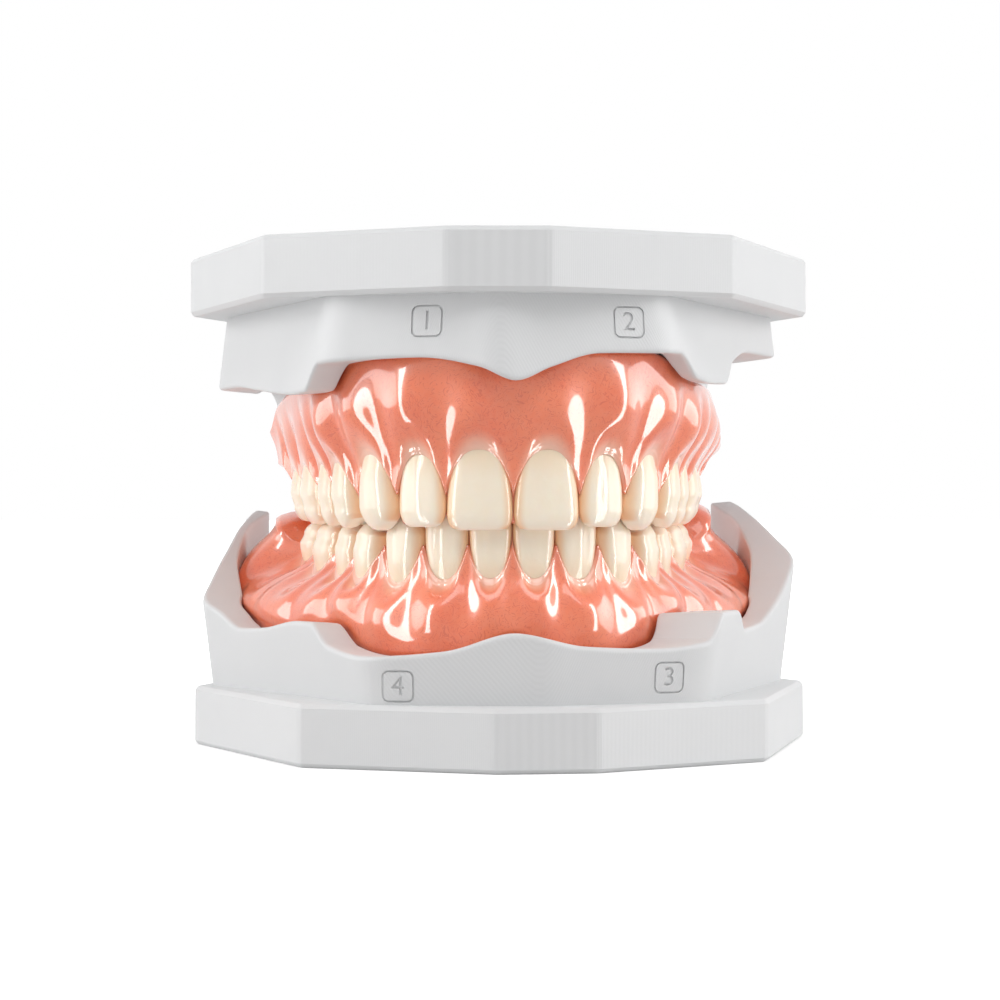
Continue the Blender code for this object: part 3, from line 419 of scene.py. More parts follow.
class Jaw:
    """The curves of one jaw, from which its teeth, base and model are shaped."""

    # The acrylic's rolled edge round the teeth
    LIP, LIP_RUN, LIP_TUCK, LIP_REACH = 0.42, 2.2, 0.12, 0.7
    LIP_COVER, PAD_COVER, THIN_LIP = 0.4, -0.45, 0.1
    # Where the teeth give way to the pad behind them: before the last tooth's end, and over what run
    LEAVE_TEETH, LEAVE_RUN = 1.0, 3.0
    JUST_INSIDE = 0.01
    LIP_ROWS, FLANGE_ROWS, ROLL_ROWS, INNER_ROWS, PALATE_ROWS = 6, 40, 6, 18, 22
    OVER_ROWS = 5
    WIDE_MEAN, NARROW_MEAN, MEAN_STEP = 4.0, 1.5, 0.5
    ROOT_SWELL = {"upper": 0.8, "lower": 0.62}
    SWELL_FADE, SWELL_FADE_FROM, SWELL_FADE_RUN = 0.55, 24, 12
    STEEPNESS, FRONT_STEEPNESS, FRONT_END, FRONT_RUN = 2.0, 1.4, 20, 14
    ROW_SPREAD, START_FADE, SOFT_FADE = 1.15, 7, 1.5
    SWELL_PLACE, SWELL_EDGE = 0.8, 0.5
    REAR_BULGE, REAR_FROM, REAR_RUN = (-1.4, 0.2), 25, 20
    LEAST_FLANGE, LEAST_RUN, LEAST_SHARPNESS = 0.9, 3, 4
    SLOW_START = 0.3
    PAD_LIFT, PAD_RUN = (1.0, 2.3), 5
    MARGIN_END, FACE_SHARPNESS = 1.5, 3

    def __init__(self, name, arch, specs, curves, rim, direction, height, body, step, stance):
        self.name, self.curves, self.rim, self.direction = name, curves, rim, direction
        self.height, self.body_corners = height, body
        self.front_step, self.side_step = step
        self.turn, self.shift = stance
        self.slab_rise = height - SLAB_THICKNESS
        self.has_palate = name == "upper"
        self.level, self.origin = 0.0, (0.0, 0.0)
        self.last = sum(spec[3] + TOOTH_SPACING for spec in specs)
        self.end = self.last + END_RUN
        self.arch = Arch(*arch, turn_over=(self.last - TURN_RUN, self.end))
        self.teeth, self.bounds = [], [0.0]
        s = 0.0
        for spec in specs:
            width = spec[3] + TOOTH_SPACING
            for side in (-1, 1):
                self.teeth.append(Tooth(self.arch, side, s + width / 2, spec))
            s += width
            self.bounds.append(s)
        outside = self.ROLL_ROWS + self.FLANGE_ROWS + self.LIP_ROWS + 1
        inside = 1 + self.LIP_ROWS + self.INNER_ROWS
        self.shiny_rows = outside + self.OVER_ROWS + inside + (self.PALATE_ROWS if self.has_palate else 5)

    def value(self, curve, s, column=1):
        return float(smooth_through(self.curves[curve], abs(s), column))

    def world(self, x, depth, rise):
        x, depth = x - self.origin[0], depth - self.origin[1]
        return x * MM, depth * MM, (self.level + self.direction * rise) * MM

    def stand(self, outline):
        """Corners drawn square to the arch, turned and shifted to where the model stands."""
        cos, sin = math.cos(math.radians(self.turn)), math.sin(math.radians(self.turn))
        middle = (self.body_corners[-1][1] + self.body_corners[0][1]) / 2
        away = [(x, depth - middle) for x, depth in outline]
        return [(x * cos - y * sin + self.shift, x * sin + y * cos + middle) for x, y in away]

    def slab_outline(self):
        (_, front), _, (side_x, _), (heel_x, back) = self.body_corners
        front -= self.front_step
        half = [
            (SLAB_FRONT_HALF_WIDTH, front),
            (SLAB_SHOULDER_HALF_WIDTH, front + SLAB_SHOULDER_SETBACK),
            (side_x + self.side_step, front + SLAB_SIDE_SETBACK),
            (heel_x + HEEL_STEP, back + BACK_STEP),
        ]
        return self.stand(half + [(-x, y) for x, y in half[::-1]])

    def at(self, s, out, rise):
        point, _, outward = self.arch.place(s)
        x, depth = point + outward * out
        return np.array([x, depth, rise])

    def held(self, s):
        """The nearest place to s that still has a tooth."""
        return math.copysign(min(abs(s), self.last - self.JUST_INSIDE), s)

    def pick(self, s):
        """(tooth, x from its middle, its number) at s."""
        s = self.held(s)
        i = int(np.clip(np.searchsorted(self.bounds, abs(s)) - 1, 0, len(self.bounds) - 2))
        tooth = self.teeth[2 * i + (1 if s >= 0 else 0)]
        return tooth, s - tooth.s, i

    def margin(self, s, outside):
        """(out, rise) of the gum's edge round the teeth, outside or inside the arch."""
        neck, papilla = GUM_SHARES[outside]
        tooth, x, i = self.pick(s)
        u = min(abs(x) / (tooth.width / 2 + TOOTH_SPACING / 2), 1.0)
        towards = i + (1 if abs(self.held(s)) > abs(tooth.s) else -1)
        other = self.teeth[2 * int(np.clip(towards, 0, len(self.bounds) - 2)) + 1]
        between = sum(t.tip + papilla * t.crown for t in (tooth, other)) / 2
        neck_rise = tooth.tip + neck * tooth.crown
        rise = neck_rise - (neck_rise - between) * u**MARGIN_ROUNDNESS
        face = abs(float(tooth.face(np.clip(x, -tooth.width / 2, tooth.width / 2), rise, outside)))
        reaches = [(t.outer if outside else t.inner) * PAPILLA_REACH for t in (tooth, other)]
        floor = sum(reaches) / 2 if u > 0 else reaches[0]
        sharp = self.FACE_SHARPNESS
        out = math.log(math.exp(face * sharp) + math.exp(floor * sharp)) / sharp * (1 if outside else -1)
        past = abs(s) - self.last + self.MARGIN_END
        if past > 0:
            curve = "end_margin" if outside else "end_lingual"
            blend = float(ease(past / (2 * self.MARGIN_END)))
            out = out * (1 - blend) + self.value(curve, s, 1) * blend
            rise = rise * (1 - blend) + self.value(curve, s, 2) * blend - self.pad_lift(s)
        return out, rise

    def pad_lift(self, s):
        """How much nearer the chewing plane the pad behind the molars lies on this side."""
        if self.has_palate:
            return 0.0
        return self.PAD_LIFT[s > 0] * float(ease((abs(s) - self.last + self.MARGIN_END) / self.PAD_RUN))

    @functools.cache
    def mean_table(self, reach, column):
        width = round(reach / self.MEAN_STEP)
        places = np.arange(0, self.end + self.MEAN_STEP, self.MEAN_STEP)
        values = np.array([self.margin(-p, True)[column] for p in places])
        padded = np.concatenate([values[width:0:-1], values, np.full(width, values[-1])])
        kernel = np.hanning(2 * width + 1)
        return places, np.convolve(padded, kernel / kernel.sum(), "valid")

    def mean_margin(self, s, reach, column=0):
        """The outer margin's distance or rise, averaged over a reach each way along the arch."""
        return float(np.interp(abs(s), *self.mean_table(reach, column)))

    def lip(self, margin, sign, on_teeth):
        """(out, rise) rows of the acrylic's rolled edge, from under the tooth to where the wall starts."""
        out, rise = margin
        thickness = self.LIP * (self.THIN_LIP + (1 - self.THIN_LIP) * on_teeth)
        rolled = np.linspace(0, 1, self.LIP_ROWS)
        outs = out + sign * (thickness * ease(rolled) - self.LIP_TUCK * on_teeth)
        under = rise + self.LIP_COVER * on_teeth + self.PAD_COVER * (1 - on_teeth)
        rises = np.append(under, rise + thickness * self.LIP_RUN * rolled)
        return np.column_stack([np.append(out - sign * self.LIP_REACH, outs), rises])

    @functools.cache
    def gum_column(self, s):
        """(out, rise) rows of the outside and of the inside at s, and how much of s is among the teeth."""
        tooth, x, _ = self.pick(s)
        u = min(abs(x) / (tooth.width / 2 + TOOTH_SPACING / 2), 1.0)
        on_teeth = 1 - float(ease((abs(s) - self.last + self.LEAVE_TEETH) / self.LEAVE_RUN))
        lips = [self.lip(self.margin(s, sign > 0), sign, on_teeth) for sign in (1, -1)]
        outer = np.concatenate([lips[0], *self.flange(s, lips[0][-1], u, on_teeth)])
        start = lips[1][-1]
        end = np.array([self.value("inner_out", s), self.value("inner_rise", s)])
        bend = (start + end) / 2 - np.array([INNER_BULGE * 2, 0])
        t = np.linspace(0, 1, self.INNER_ROWS + 1)[1:, None]
        inner = np.concatenate([lips[1], start * (1 - t) ** 2 + 2 * bend * t * (1 - t) + end * t**2])
        return outer, inner, on_teeth

    def flange(self, s, start, u, on_teeth):
        """(out, rise) rows of the shiny side from the lip to the border, and round the border."""
        start_out, start_rise = start
        border_out, border_rise = self.value("border_out", s), self.value("border_rise", s)
        roll_middle, low_rise = border_out - BASE_THICKNESS / 2, border_rise - BASE_THICKNESS / 2
        bulge = self.value("flange_bulge", s)
        if self.has_palate:
            bulge += self.REAR_BULGE[s > 0] * float(ease((abs(s) - self.REAR_FROM) / self.REAR_RUN))
        offset = start_out - self.margin(s, True)[0]
        mean = self.mean_margin(s, self.WIDE_MEAN) + offset
        soft = self.mean_margin(s, self.NARROW_MEAN) + offset - mean
        mean_rise = self.mean_margin(s, self.WIDE_MEAN, 1)
        swell = self.ROOT_SWELL[self.name] * math.cos(math.pi * u) * on_teeth
        swell *= 1 - self.SWELL_FADE * float(ease((abs(s) - self.SWELL_FADE_FROM) / self.SWELL_FADE_RUN))
        in_front = 1 - float(ease((abs(s) - self.FRONT_END) / self.FRONT_RUN))
        steepness = self.STEEPNESS + self.FRONT_STEEPNESS * in_front
        t = np.linspace(0, 1, self.FLANGE_ROWS + 1)[1:] ** self.ROW_SPREAD
        rise = start_rise + (low_rise - start_rise) * t
        level = np.clip((np.append(start_rise, rise) - mean_rise) / (low_rise - mean_rise), 0, 1)
        slow = self.SLOW_START
        level = np.where(level < slow, level**2 / (2 * slow), level - slow / 2) / (1 - slow / 2)
        profile = mean + (border_out - mean) * (1 - (1 - level) ** steepness)
        profile += soft * (1 - level) ** self.SOFT_FADE
        profile += bulge * np.sin(math.pi * level)
        profile += swell * np.sin(math.pi * level**self.SWELL_PLACE) * (1 - level) ** self.SWELL_EDGE
        out = profile[1:] + (start_out - profile[0]) * (1 - t) ** self.START_FADE
        (border_fit, _), (fit, fit_rise) = self.ridge(s)[:2]
        least = np.interp(rise, (fit_rise, border_rise), (fit, border_fit)) + self.LEAST_FLANGE
        thin = ease((rise - fit_rise + self.LEAST_RUN) / self.LEAST_RUN)
        sharp = self.LEAST_SHARPNESS
        out = out * (1 - thin) + thin * np.log(np.exp(sharp * out) + np.exp(sharp * least)) / sharp
        roll = np.linspace(0, ROLL_TURN, self.ROLL_ROWS + 1)[1:]
        turned = [roll_middle, low_rise] + BASE_THICKNESS / 2 * np.column_stack([np.cos(roll), np.sin(roll)])
        return np.column_stack([out, rise]), turned

    def flange_out(self, s, rise):
        """How far out the shiny side of the flange lies at a rise."""
        rows = self.gum_column(s)[0][1 : 1 + self.LIP_ROWS + self.FLANGE_ROWS]
        return float(np.interp(rise, rows[:, 1], rows[:, 0]))

    def midline(self, s):
        if abs(s) > self.end:
            depth = self.arch.place(s)[0][1]
        else:
            end_depth = self.arch.place(self.end)[0][1]
            stations = [p for p in self.curves["midline_depth"] if p[0] < self.last]
            depth = float(smooth_through([*stations, (self.end, end_depth)], abs(s)))
        return np.array([0.0, depth, self.value("midline_rise", s)])

    def ridge(self, s, gap=0.0):
        """(out, rise) rows of the fitting side from the outer border over the ridge."""
        border_out, border_rise = self.value("border_out", s), self.value("border_rise", s)
        crest_out, crest_rise = self.value("crest_out", s), self.value("crest_rise", s)
        inner_out, inner_rise = self.value("inner_out", s), self.value("inner_rise", s)
        fit_out, fit_inner = border_out - BASE_THICKNESS, inner_out + BASE_THICKNESS
        half = (fit_out - crest_out) * RIDGE_FULLNESS
        inner_half = (crest_out - fit_inner) * RIDGE_FULLNESS
        crest_level = crest_rise + CREST_ROUND + gap
        rows = [
            (fit_out - gap, border_rise - BORDER_ROLL + gap),
            (crest_out + half - gap, (border_rise + crest_rise) / 2 + gap / 2),
            (crest_out + half * CREST_FLAT, crest_level),
            (crest_out - inner_half * CREST_FLAT, crest_level),
        ]
        if self.has_palate:
            return rows + [(fit_inner + gap / 2, inner_rise + PALATE_EDGE_THICKNESS + gap)]
        return rows + [
            (crest_out - inner_half + gap, (inner_rise + crest_rise) / 2 + gap / 2),
            (fit_inner + gap, inner_rise - BORDER_ROLL + gap),
        ]

    def wall_out(self, s, rise):
        """How far out the body's outside wall lies at s, at a rise."""
        point, _, outward = self.arch.place(s)
        lean = BODY_LEAN * (self.slab_rise - rise)
        (_, front), (shoulder_x, shoulder), (side_x, side), (heel_x, back) = self.body_corners
        corners = [
            (0.0, front - lean),
            (shoulder_x + lean, shoulder - lean),
            (side_x + lean, side),
            (heel_x + (heel_x - side_x) * HEEL_OVERRUN + lean, back + (back - side) * HEEL_OVERRUN),
        ]
        outline = np.array(self.stand([(-x, y) for x, y in corners[:0:-1]] + corners))
        edge_x, edge_y = np.diff(outline, axis=0).T
        gap_x, gap_y = (outline[:-1] - point).T
        across = outward[0] * edge_y - outward[1] * edge_x
        across[np.abs(across) < HAIR] = HAIR
        out = (gap_x * edge_y - gap_y * edge_x) / across
        share = (gap_x * outward[1] - gap_y * outward[0]) / across
        return float(np.max(out[(share >= -NEAR) & (share <= 1 + NEAR)], initial=0.0))


def palate_rows(jaw, s, start, lift, count):
    """Points from the inner end of a section across to the middle of the jaw, rising fast and then flat."""
    middle = jaw.midline(s) + np.array([0.0, 0.0, lift])
    t = np.linspace(0, 1, count + 1)[1:]
    rows = start + (middle - start) * t[:, None]
    rows[:, 2] = start[2] + (middle[2] - start[2]) * (1 - (1 - t) ** PALATE_CURVE)
    return list(rows)


def base_loop(jaw, s):
    """(points, halo) of the pink base at s: the shiny side inwards, then the fitting side outwards."""
    outer, inner, on_teeth = jaw.gum_column(s)
    far = math.copysign(max(abs(s), jaw.last), s)
    end_saddle = np.array([jaw.value("end_saddle", far, k) for k in (1, 2)])
    end_saddle[1] -= SADDLE_LIFT * jaw.pad_lift(s)
    behind = float(ease((abs(s) - jaw.last + SADDLE_FROM) / SADDLE_RUN))
    tooth, x, _ = jaw.pick(s)
    sideways = abs(x) / (tooth.width / 2)
    web = float(ease((sideways - WEB_FROM) / (1 - WEB_FROM)))
    under = (max(outer[0, 1], inner[0, 1]) + WEB_COVER) * (1 - web)
    under += (tooth.tip + WEB_SHARE * tooth.crown) * web
    saddle = np.array([(outer[0, 0] + inner[0, 0]) / 2, under]) * (1 - behind) + end_saddle * behind
    bend = 2 * saddle - (outer[0] + inner[0]) / 2
    t = np.linspace(0, 1, jaw.OVER_ROWS + 2)[1:-1, None]
    over = outer[0] * (1 - t) ** 2 + 2 * bend * t * (1 - t) + inner[0] * t**2
    fades = []
    for rows in (outer, inner):
        run = np.concatenate([[0.0], np.cumsum(np.linalg.norm(np.diff(rows[1:], axis=0), axis=1))])
        fades.append(np.append(on_teeth, (1 - ease(run / HALO_WIDTH)) * on_teeth))
    halo = np.concatenate([fades[0][::-1], np.full(len(over), on_teeth), fades[1]])
    halo *= 1 - HALO_NARROWING * min(sideways, 1.0) ** 2
    points = [jaw.at(s, out, rise) for out, rise in np.concatenate([outer[::-1], over, inner])]
    ridge = [jaw.at(s, out, rise) for out, rise in jaw.ridge(s)]
    if jaw.has_palate:
        points += palate_rows(jaw, s, points[-1], 0.0, jaw.PALATE_ROWS)
        ridge += palate_rows(jaw, s, ridge[-1], PALATE_THICKNESS, jaw.PALATE_ROWS // 2)
    else:
        inner_out, inner_rise = inner[-1]
        for angle in np.linspace(0, ROLL_TURN, 6)[1:]:
            out = inner_out + BASE_THICKNESS / 2 * (1 - math.cos(angle))
            points.append(jaw.at(s, out, inner_rise + BASE_THICKNESS / 2 * math.sin(angle)))
    return points + ridge[::-1], np.append(halo, np.zeros(len(points) - len(halo) + len(ridge)))


def shape_base(jaw, step, end_round):
    """The pink base: its sections walked along the arch, with rounded ends."""
    straight = jaw.end - end_round
    half = list(np.linspace(0, straight, round(straight / step) + 1))
    loops = [base_loop(jaw, s) for s in [-s for s in half[:0:-1]] + half]
    for side in (-1, 1):
        turned = []
        for angle in np.linspace(0, math.pi / 2, END_TURNS)[1:]:
            points, values = base_loop(jaw, side * (straight + end_round * math.sin(angle)))
            points = np.array(points)
            ahead = np.roll(points, -1, axis=0)
            along = ahead - np.roll(points, 1, axis=0)
            outward = np.stack([along[:, 2], np.zeros(len(points)), -along[:, 0]], axis=1)
            outward /= np.linalg.norm(outward, axis=1)[:, None] + HAIR
            turn = np.sign(np.sum(np.cross(points, ahead)[:, 1]))
            moved = points + outward * turn * end_round * (1 - math.cos(angle))
            if jaw.has_palate:
                moved[np.abs(points[:, 0]) < NEAR, 0] = 0.0
            turned.append((list(moved), values))
        loops = loops + turned if side > 0 else turned[::-1] + loops
    rows = len(loops[0][0])
    vertices = [jaw.world(*point) for points, _ in loops for point in points]
    halo = np.concatenate([values for _, values in loops])
    faces = grid_faces(len(loops), rows, closed=True)
    if jaw.has_palate:
        faces = [face for face in faces if face[0] % rows != jaw.shiny_rows - 1]
    flat_from = len(faces)
    for i in (0, len(loops) - 1):
        faces += cap_faces(np.array(loops[i][0]), i * rows, jaw.shiny_rows)
    return shaped_mesh(f"{jaw.name}_pink_base", vertices, faces, {"halo": halo}, flat_from)


def cap_faces(points, first, shiny):
    """Triangles that close a section between its shiny side and its fitting side."""
    i, j = 0, len(points) - 1
    faces = []
    while i < shiny - 1 or j > shiny:
        ahead = np.linalg.norm(points[min(i + 1, shiny - 1)] - points[j])
        back = np.linalg.norm(points[i] - points[max(j - 1, shiny)])
        if j == shiny or (i < shiny - 1 and ahead < back):
            faces.append((first + i, first + i + 1, first + j))
            i += 1
        else:
            faces.append((first + i, first + j - 1, first + j))
            j -= 1
    return faces


def shape_tooth(jaw, tooth):
    """One tooth from its rings, closed at both ends."""
    rings = tooth.rings()
    vertices, neck, interdental_shade = [], [], []
    for ring in rings:
        half = float(np.abs(ring[:, 0]).max())
        wide = half > 0.4 * tooth.width
        for x, out, rise in ring:
            vertices.append(jaw.world(*tooth.plan(x, out), rise))
            neck.append(np.clip((rise - tooth.tip) / tooth.crown, 0, 1))
            # Painted shade mask: rises to 1 at the sides where neighbouring teeth touch, for the darkened
            # orange brown between them
            interdental_shade.append(ease((abs(x) / half - INTERDENTAL_SHADE_FROM) / (1 - INTERDENTAL_SHADE_FROM)) if wide else 0.0)
    faces = grid_faces(len(rings), TOOTH_SIDES, closed=True)
    faces.append(tuple(range(TOOTH_SIDES)))
    faces.append(tuple(range(len(vertices) - TOOTH_SIDES, len(vertices))))
    values = {"neck": neck, "interdental_shade": interdental_shade}
    return shaped_mesh(f"{jaw.name}_{tooth.name}_tooth", vertices, faces, values)


def rounded(rows, corners):
    """A polyline whose named corners are rounded: {row number: radius}. Every call adds as many points."""
    made = []
    for i, row in enumerate(rows):
        if i not in corners:
            made.append(row)
            continue
        before, here, after = (np.array(rows[k], float) for k in (i - 1, i, i + 1))
        ends = []
        for run in (before - here, after - here):
            length = np.linalg.norm(run) + HAIR
            end = here + run / length * min(corners[i], 0.45 * length)
            ends.append((end, tuple(end + run / length * min(SUPPORT, 0.04 * length))))
        (a, first), (c, last) = ends
        t = np.linspace(0, 1, ROUND_POINTS)[:, None]
        arc = a * (1 - t) ** 2 + 2 * here * t * (1 - t) + c * t**2
        made += [first, *map(tuple, arc), last]
    return made


def body_wall(jaw, s, rise):
    """How far out the body's outside lies, with its upright corners softened."""
    near = [jaw.wall_out(s + shift, rise) for shift in CORNER_SHIFTS]
    return float(np.dot(near, CORNER_WEIGHTS))


def body_rows(jaw, s, rim_round):
    """The surface of a model at s, from the foot of its outside wall to the middle of the jaw."""
    rim = float(smooth_through(jaw.rim, s))
    root = jaw.slab_rise + BODY_ROOT
    border_out, border_rise = jaw.value("border_out", s), jaw.value("border_rise", s)
    lip_rise = jaw.gum_column(math.copysign(min(abs(s), jaw.end), s))[0][1 + jaw.LIP_ROWS, 1]
    low_rise = lip_rise + SHOULDER_SHARE * (border_rise - lip_rise)
    flange_out = shoulder_out = border_out
    if abs(s) <= jaw.end:
        flange_out, shoulder_out = jaw.flange_out(s, rim), jaw.flange_out(s, low_rise)
    trough = rim + RIM_FALL + RIM_STEP
    rim_out = body_wall(jaw, s, rim)
    inside = rim_out - RIM_WALL
    rows = [
        (body_wall(jaw, s, root), root),
        (rim_out, rim),
        (min(max(flange_out, shoulder_out) + BORDER_GAP, inside), rim + RIM_FALL),
        (min(shoulder_out + BORDER_GAP, inside), max(low_rise, trough)),
        (min(border_out - BASE_THICKNESS / 2, inside), max(border_rise, trough) + BORDER_GAP),
    ]
    rows += jaw.ridge(s, SEAT_GAP)
    if not jaw.has_palate:
        inner_out, inner_rise = jaw.value("inner_out", s), jaw.value("inner_rise", s)
        rows += [(inner_out + out, inner_rise + BORDER_GAP) for out in (BASE_THICKNESS / 2, -BORDER_GAP)]
    points = [jaw.at(s, out, rise) for out, rise in rounded(rows, {1: rim_round, 2: rim_round / 2})]
    lift = PALATE_THICKNESS + SEAT_GAP if jaw.has_palate else 0.0
    return points + palate_rows(jaw, s, points[-1], lift, jaw.PALATE_ROWS // 2)


def shape_body(jaw, step, rim_round):
    """The body of a model from its sections, closed underneath and at the heel."""
    heel = jaw.end + HEEL_RUN
    half = list(np.linspace(0, heel, round(heel / step) + 1))
    sections = [body_rows(jaw, s, rim_round) for s in [-s for s in half[:0:-1]] + half]
    rows = len(sections[0])
    vertices = [jaw.world(*point) for section in sections for point in section]
    faces = grid_faces(len(sections), rows)
    faces.append(tuple(range(0, len(vertices), rows)))
    faces.append(tuple(range(rows)) + tuple(range(len(vertices) - 1, len(vertices) - rows - 1, -1)))
    return shaped_mesh(f"{jaw.name}_body", vertices, faces)


def grid_faces(columns, rows, closed=False):
    """Four-sided faces between neighbouring columns of points, each column a ring if closed."""
    faces = []
    for i in range(columns - 1):
        for k in range(rows if closed else rows - 1):
            a, b = i * rows + k, i * rows + (k + 1) % rows
            faces.append((a, a + rows, b + rows, b))
    return faces


def shaped_mesh(name, vertices, faces, values=None, flat_from=None, merge=2e-6):
    """A mesh object from points in metres and faces, with named values at its points and flat last faces."""
    bm = bmesh.new()
    layers = {key: bm.verts.layers.float.new(key) for key in values or {}}
    made = [bm.verts.new(v) for v in vertices]
    for key, layer in layers.items():
        for vert, value in zip(made, values[key]):
            vert[layer] = float(value)
    for k, face in enumerate(faces):
        corners = list(dict.fromkeys(face))
        if len(corners) > 2:
            new = bm.faces.new([made[k] for k in corners])
            new.material_index = int(flat_from is not None and k >= flat_from)
    bmesh.ops.remove_doubles(bm, verts=bm.verts, dist=merge)
    bmesh.ops.dissolve_degenerate(bm, edges=bm.edges, dist=merge)
    bmesh.ops.recalc_face_normals(bm, faces=bm.faces)
    if bm.calc_volume(signed=True) < 0:
        bmesh.ops.reverse_faces(bm, faces=bm.faces)
    for edge in bm.edges:
        edge.smooth = len({face.material_index for face in edge.link_faces}) == 1
    for face in bm.faces:
        face.smooth, face.material_index = face.material_index == 0, 0
    mesh = bpy.data.meshes.new(name)
    bm.to_mesh(mesh)
    bm.free()
    piece = bpy.data.objects.new(name, mesh)
    bpy.context.scene.collection.objects.link(piece)
    return piece


def both_jaws():
    """The two jaws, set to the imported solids' levels."""
    lower, upper = Jaw(*LOWER), Jaw(*UPPER)
    lower.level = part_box("lower_left_central_incisor")[1].z / MM
    upper.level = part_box("upper_left_central_incisor")[0].z / MM
    corners = np.array(lower.slab_outline() + upper.slab_outline())
    lower.origin = upper.origin = tuple((corners.min(axis=0) + corners.max(axis=0)) / 2)
    return {"lower": lower, "upper": upper}


jaws = both_jaws()


class Strand:
    """One socket of a material, on which Python's operators add Math nodes."""

    def __init__(self, board, socket):
        self.board, self.socket = board, socket

    def maths(self, operation, *values):
        return self.board.node("ShaderNodeMath", {"operation": operation}, values)

    def __add__(self, other):
        return self.maths("ADD", self, other)

    def __mul__(self, other):
        return self.maths("MULTIPLY", self, other)

    def __rsub__(self, other):
        return self.maths("SUBTRACT", other, self)

    def most(self, other):
        return self.maths("MAXIMUM", self, other)

    def wave(self):
        return self.maths("SINE", self)

    __radd__ = __add__
    __rmul__ = __mul__


class Board:
    """The nodes of one material, or of the world."""

    def __init__(self, owner, **fixed):
        owner.use_nodes = True
        self.owner, self.tree = owner, owner.node_tree
        self.shader = self.tree.nodes.get("Principled BSDF")
        for socket, value in fixed.items():
            self.shader.inputs[socket.replace("_", " ")].default_value = value

    def node(self, kind, settings=None, sockets=None, output=0):
        made = self.tree.nodes.new(kind)
        for key, value in (settings or {}).items():
            setattr(made, key, value)
        pairs = sockets.items() if isinstance(sockets, dict) else enumerate(sockets or ())
        for key, value in pairs:
            if isinstance(value, Strand):
                self.tree.links.new(value.socket, made.inputs[key])
            else:
                made.inputs[key].default_value = value
        return Strand(self, made.outputs[output])

    def place(self):
        """Object coordinates in millimetres."""
        metres = self.node("ShaderNodeTexCoord", output="Object")
        return self.node("ShaderNodeVectorMath", {"operation": "SCALE"}, {0: metres, "Scale": 1 / MM})

    def vector(self, operation, *values, output=0):
        return self.node("ShaderNodeVectorMath", {"operation": operation}, values, output)

    def cloud(self, vector, scale, detail=2.0, output="Fac"):
        sockets = {"Vector": vector, "Scale": scale, "Detail": detail}
        return self.node("ShaderNodeTexNoise", None, sockets, output)

    def between(self, value, low, high, start=0.0, end=1.0):
        sockets = {"Value": value, "From Min": low, "From Max": high, "To Min": start, "To Max": end}
        return self.node("ShaderNodeMapRange", {"interpolation_type": "SMOOTHSTEP"}, sockets, "Result")

    def blend(self, factor, first, second):
        settings = {"data_type": "RGBA"}
        return self.node("ShaderNodeMix", settings, {0: factor, 6: first, 7: second}, 2)

    def attribute(self, name):
        return self.node("ShaderNodeAttribute", {"attribute_name": name}, None, "Fac")

    def feed(self, socket, strand):
        self.tree.links.new(strand.socket, self.shader.inputs[socket])

    def bump(self, height, depth):
        """Relief in millimetres from a height of 0 to 1."""
        sockets = {"Strength": 1.0, "Distance": depth * MM, "Height": height}
        self.feed("Normal", self.node("ShaderNodeBump", None, sockets, "Normal"))


def new_material(name, **fixed):
    return Board(bpy.data.materials.new(name), **fixed)


def rgba(colour):
    return (*colour, 1.0)


def print_material(settings):
    """Pale resin printed in fine upright layers."""
    board = new_material("layered_print", Roughness=0.5, Specular_IOR_Level=0.35)
    place = board.place()
    depth = board.node("ShaderNodeSeparateXYZ", None, (place,), "Y")
    sway = board.cloud(place, 0.03, 1.0) * 0.1
    layers = ((depth + sway) * (2 * math.pi / (settings.layer / MM))).wave()
    grain = board.cloud(place, 2.2, 3.0)
    board.bump((layers * 0.5 + 0.5) * 0.7 + grain * 0.3, settings.layer_depth / MM)
    groove = rgba([part * 0.975 for part in settings.colour])
    colour = board.blend(board.between(layers, -1.0, 1.0), groove, rgba(settings.colour))
    patches = board.between(board.cloud(place, 0.09, 2.0), 0.35, 0.7, 0.0, 0.25)
    board.feed("Base Color", board.blend(patches, colour, rgba(settings.shade)))
    return board.owner


def gum_material(settings):
    """Glossy pink acrylic with fine red fibres, paler round the necks of the teeth."""
    board = new_material(
        "veined_pink_acrylic", Roughness=0.3, Coat_Weight=1.0, Coat_Roughness=settings.roughness,
        Subsurface_Weight=0.12, Subsurface_Radius=(0.9, 0.35, 0.22), Subsurface_Scale=0.0015,
    )
    place = board.place()
    halo = board.attribute("halo")
    mottle = board.between(board.cloud(place, 0.16, 3.0), 0.3, 0.72)
    colour = board.blend(mottle, rgba(settings.colour), rgba(settings.deep_colour))
    fine = board.cloud(place, 1.3, 4.0)
    colour = board.blend(board.between(fine, 0.35, 0.75, 0.0, 0.3), colour, rgba(settings.pale_colour))
    swayed = board.vector("MULTIPLY_ADD", board.cloud(place, 0.4, 1.0, "Color"), FIBRE_SWAY, place)
    fibres = None
    for turn in FIBRE_TURNS:
        turned = board.node("ShaderNodeMapping", None, {"Vector": swayed, "Rotation": turn})
        drawn_out = board.vector("MULTIPLY", turned, FIBRE_SHAPE)
        streak = board.between(board.cloud(drawn_out, 1.0, 0.0), 0.70, 0.76)
        fibres = streak if fibres is None else fibres.most(streak)
    colour = board.blend(fibres * (1 - halo * 0.6) * settings.fibres, colour, rgba(settings.fibre_colour))
    board.feed("Base Color", board.blend(halo * 0.9, colour, rgba(settings.neck_colour)))
    board.bump(board.cloud(place, 0.45, 2.0) * 0.9 + fine * 0.1, 0.07)
    return board.owner


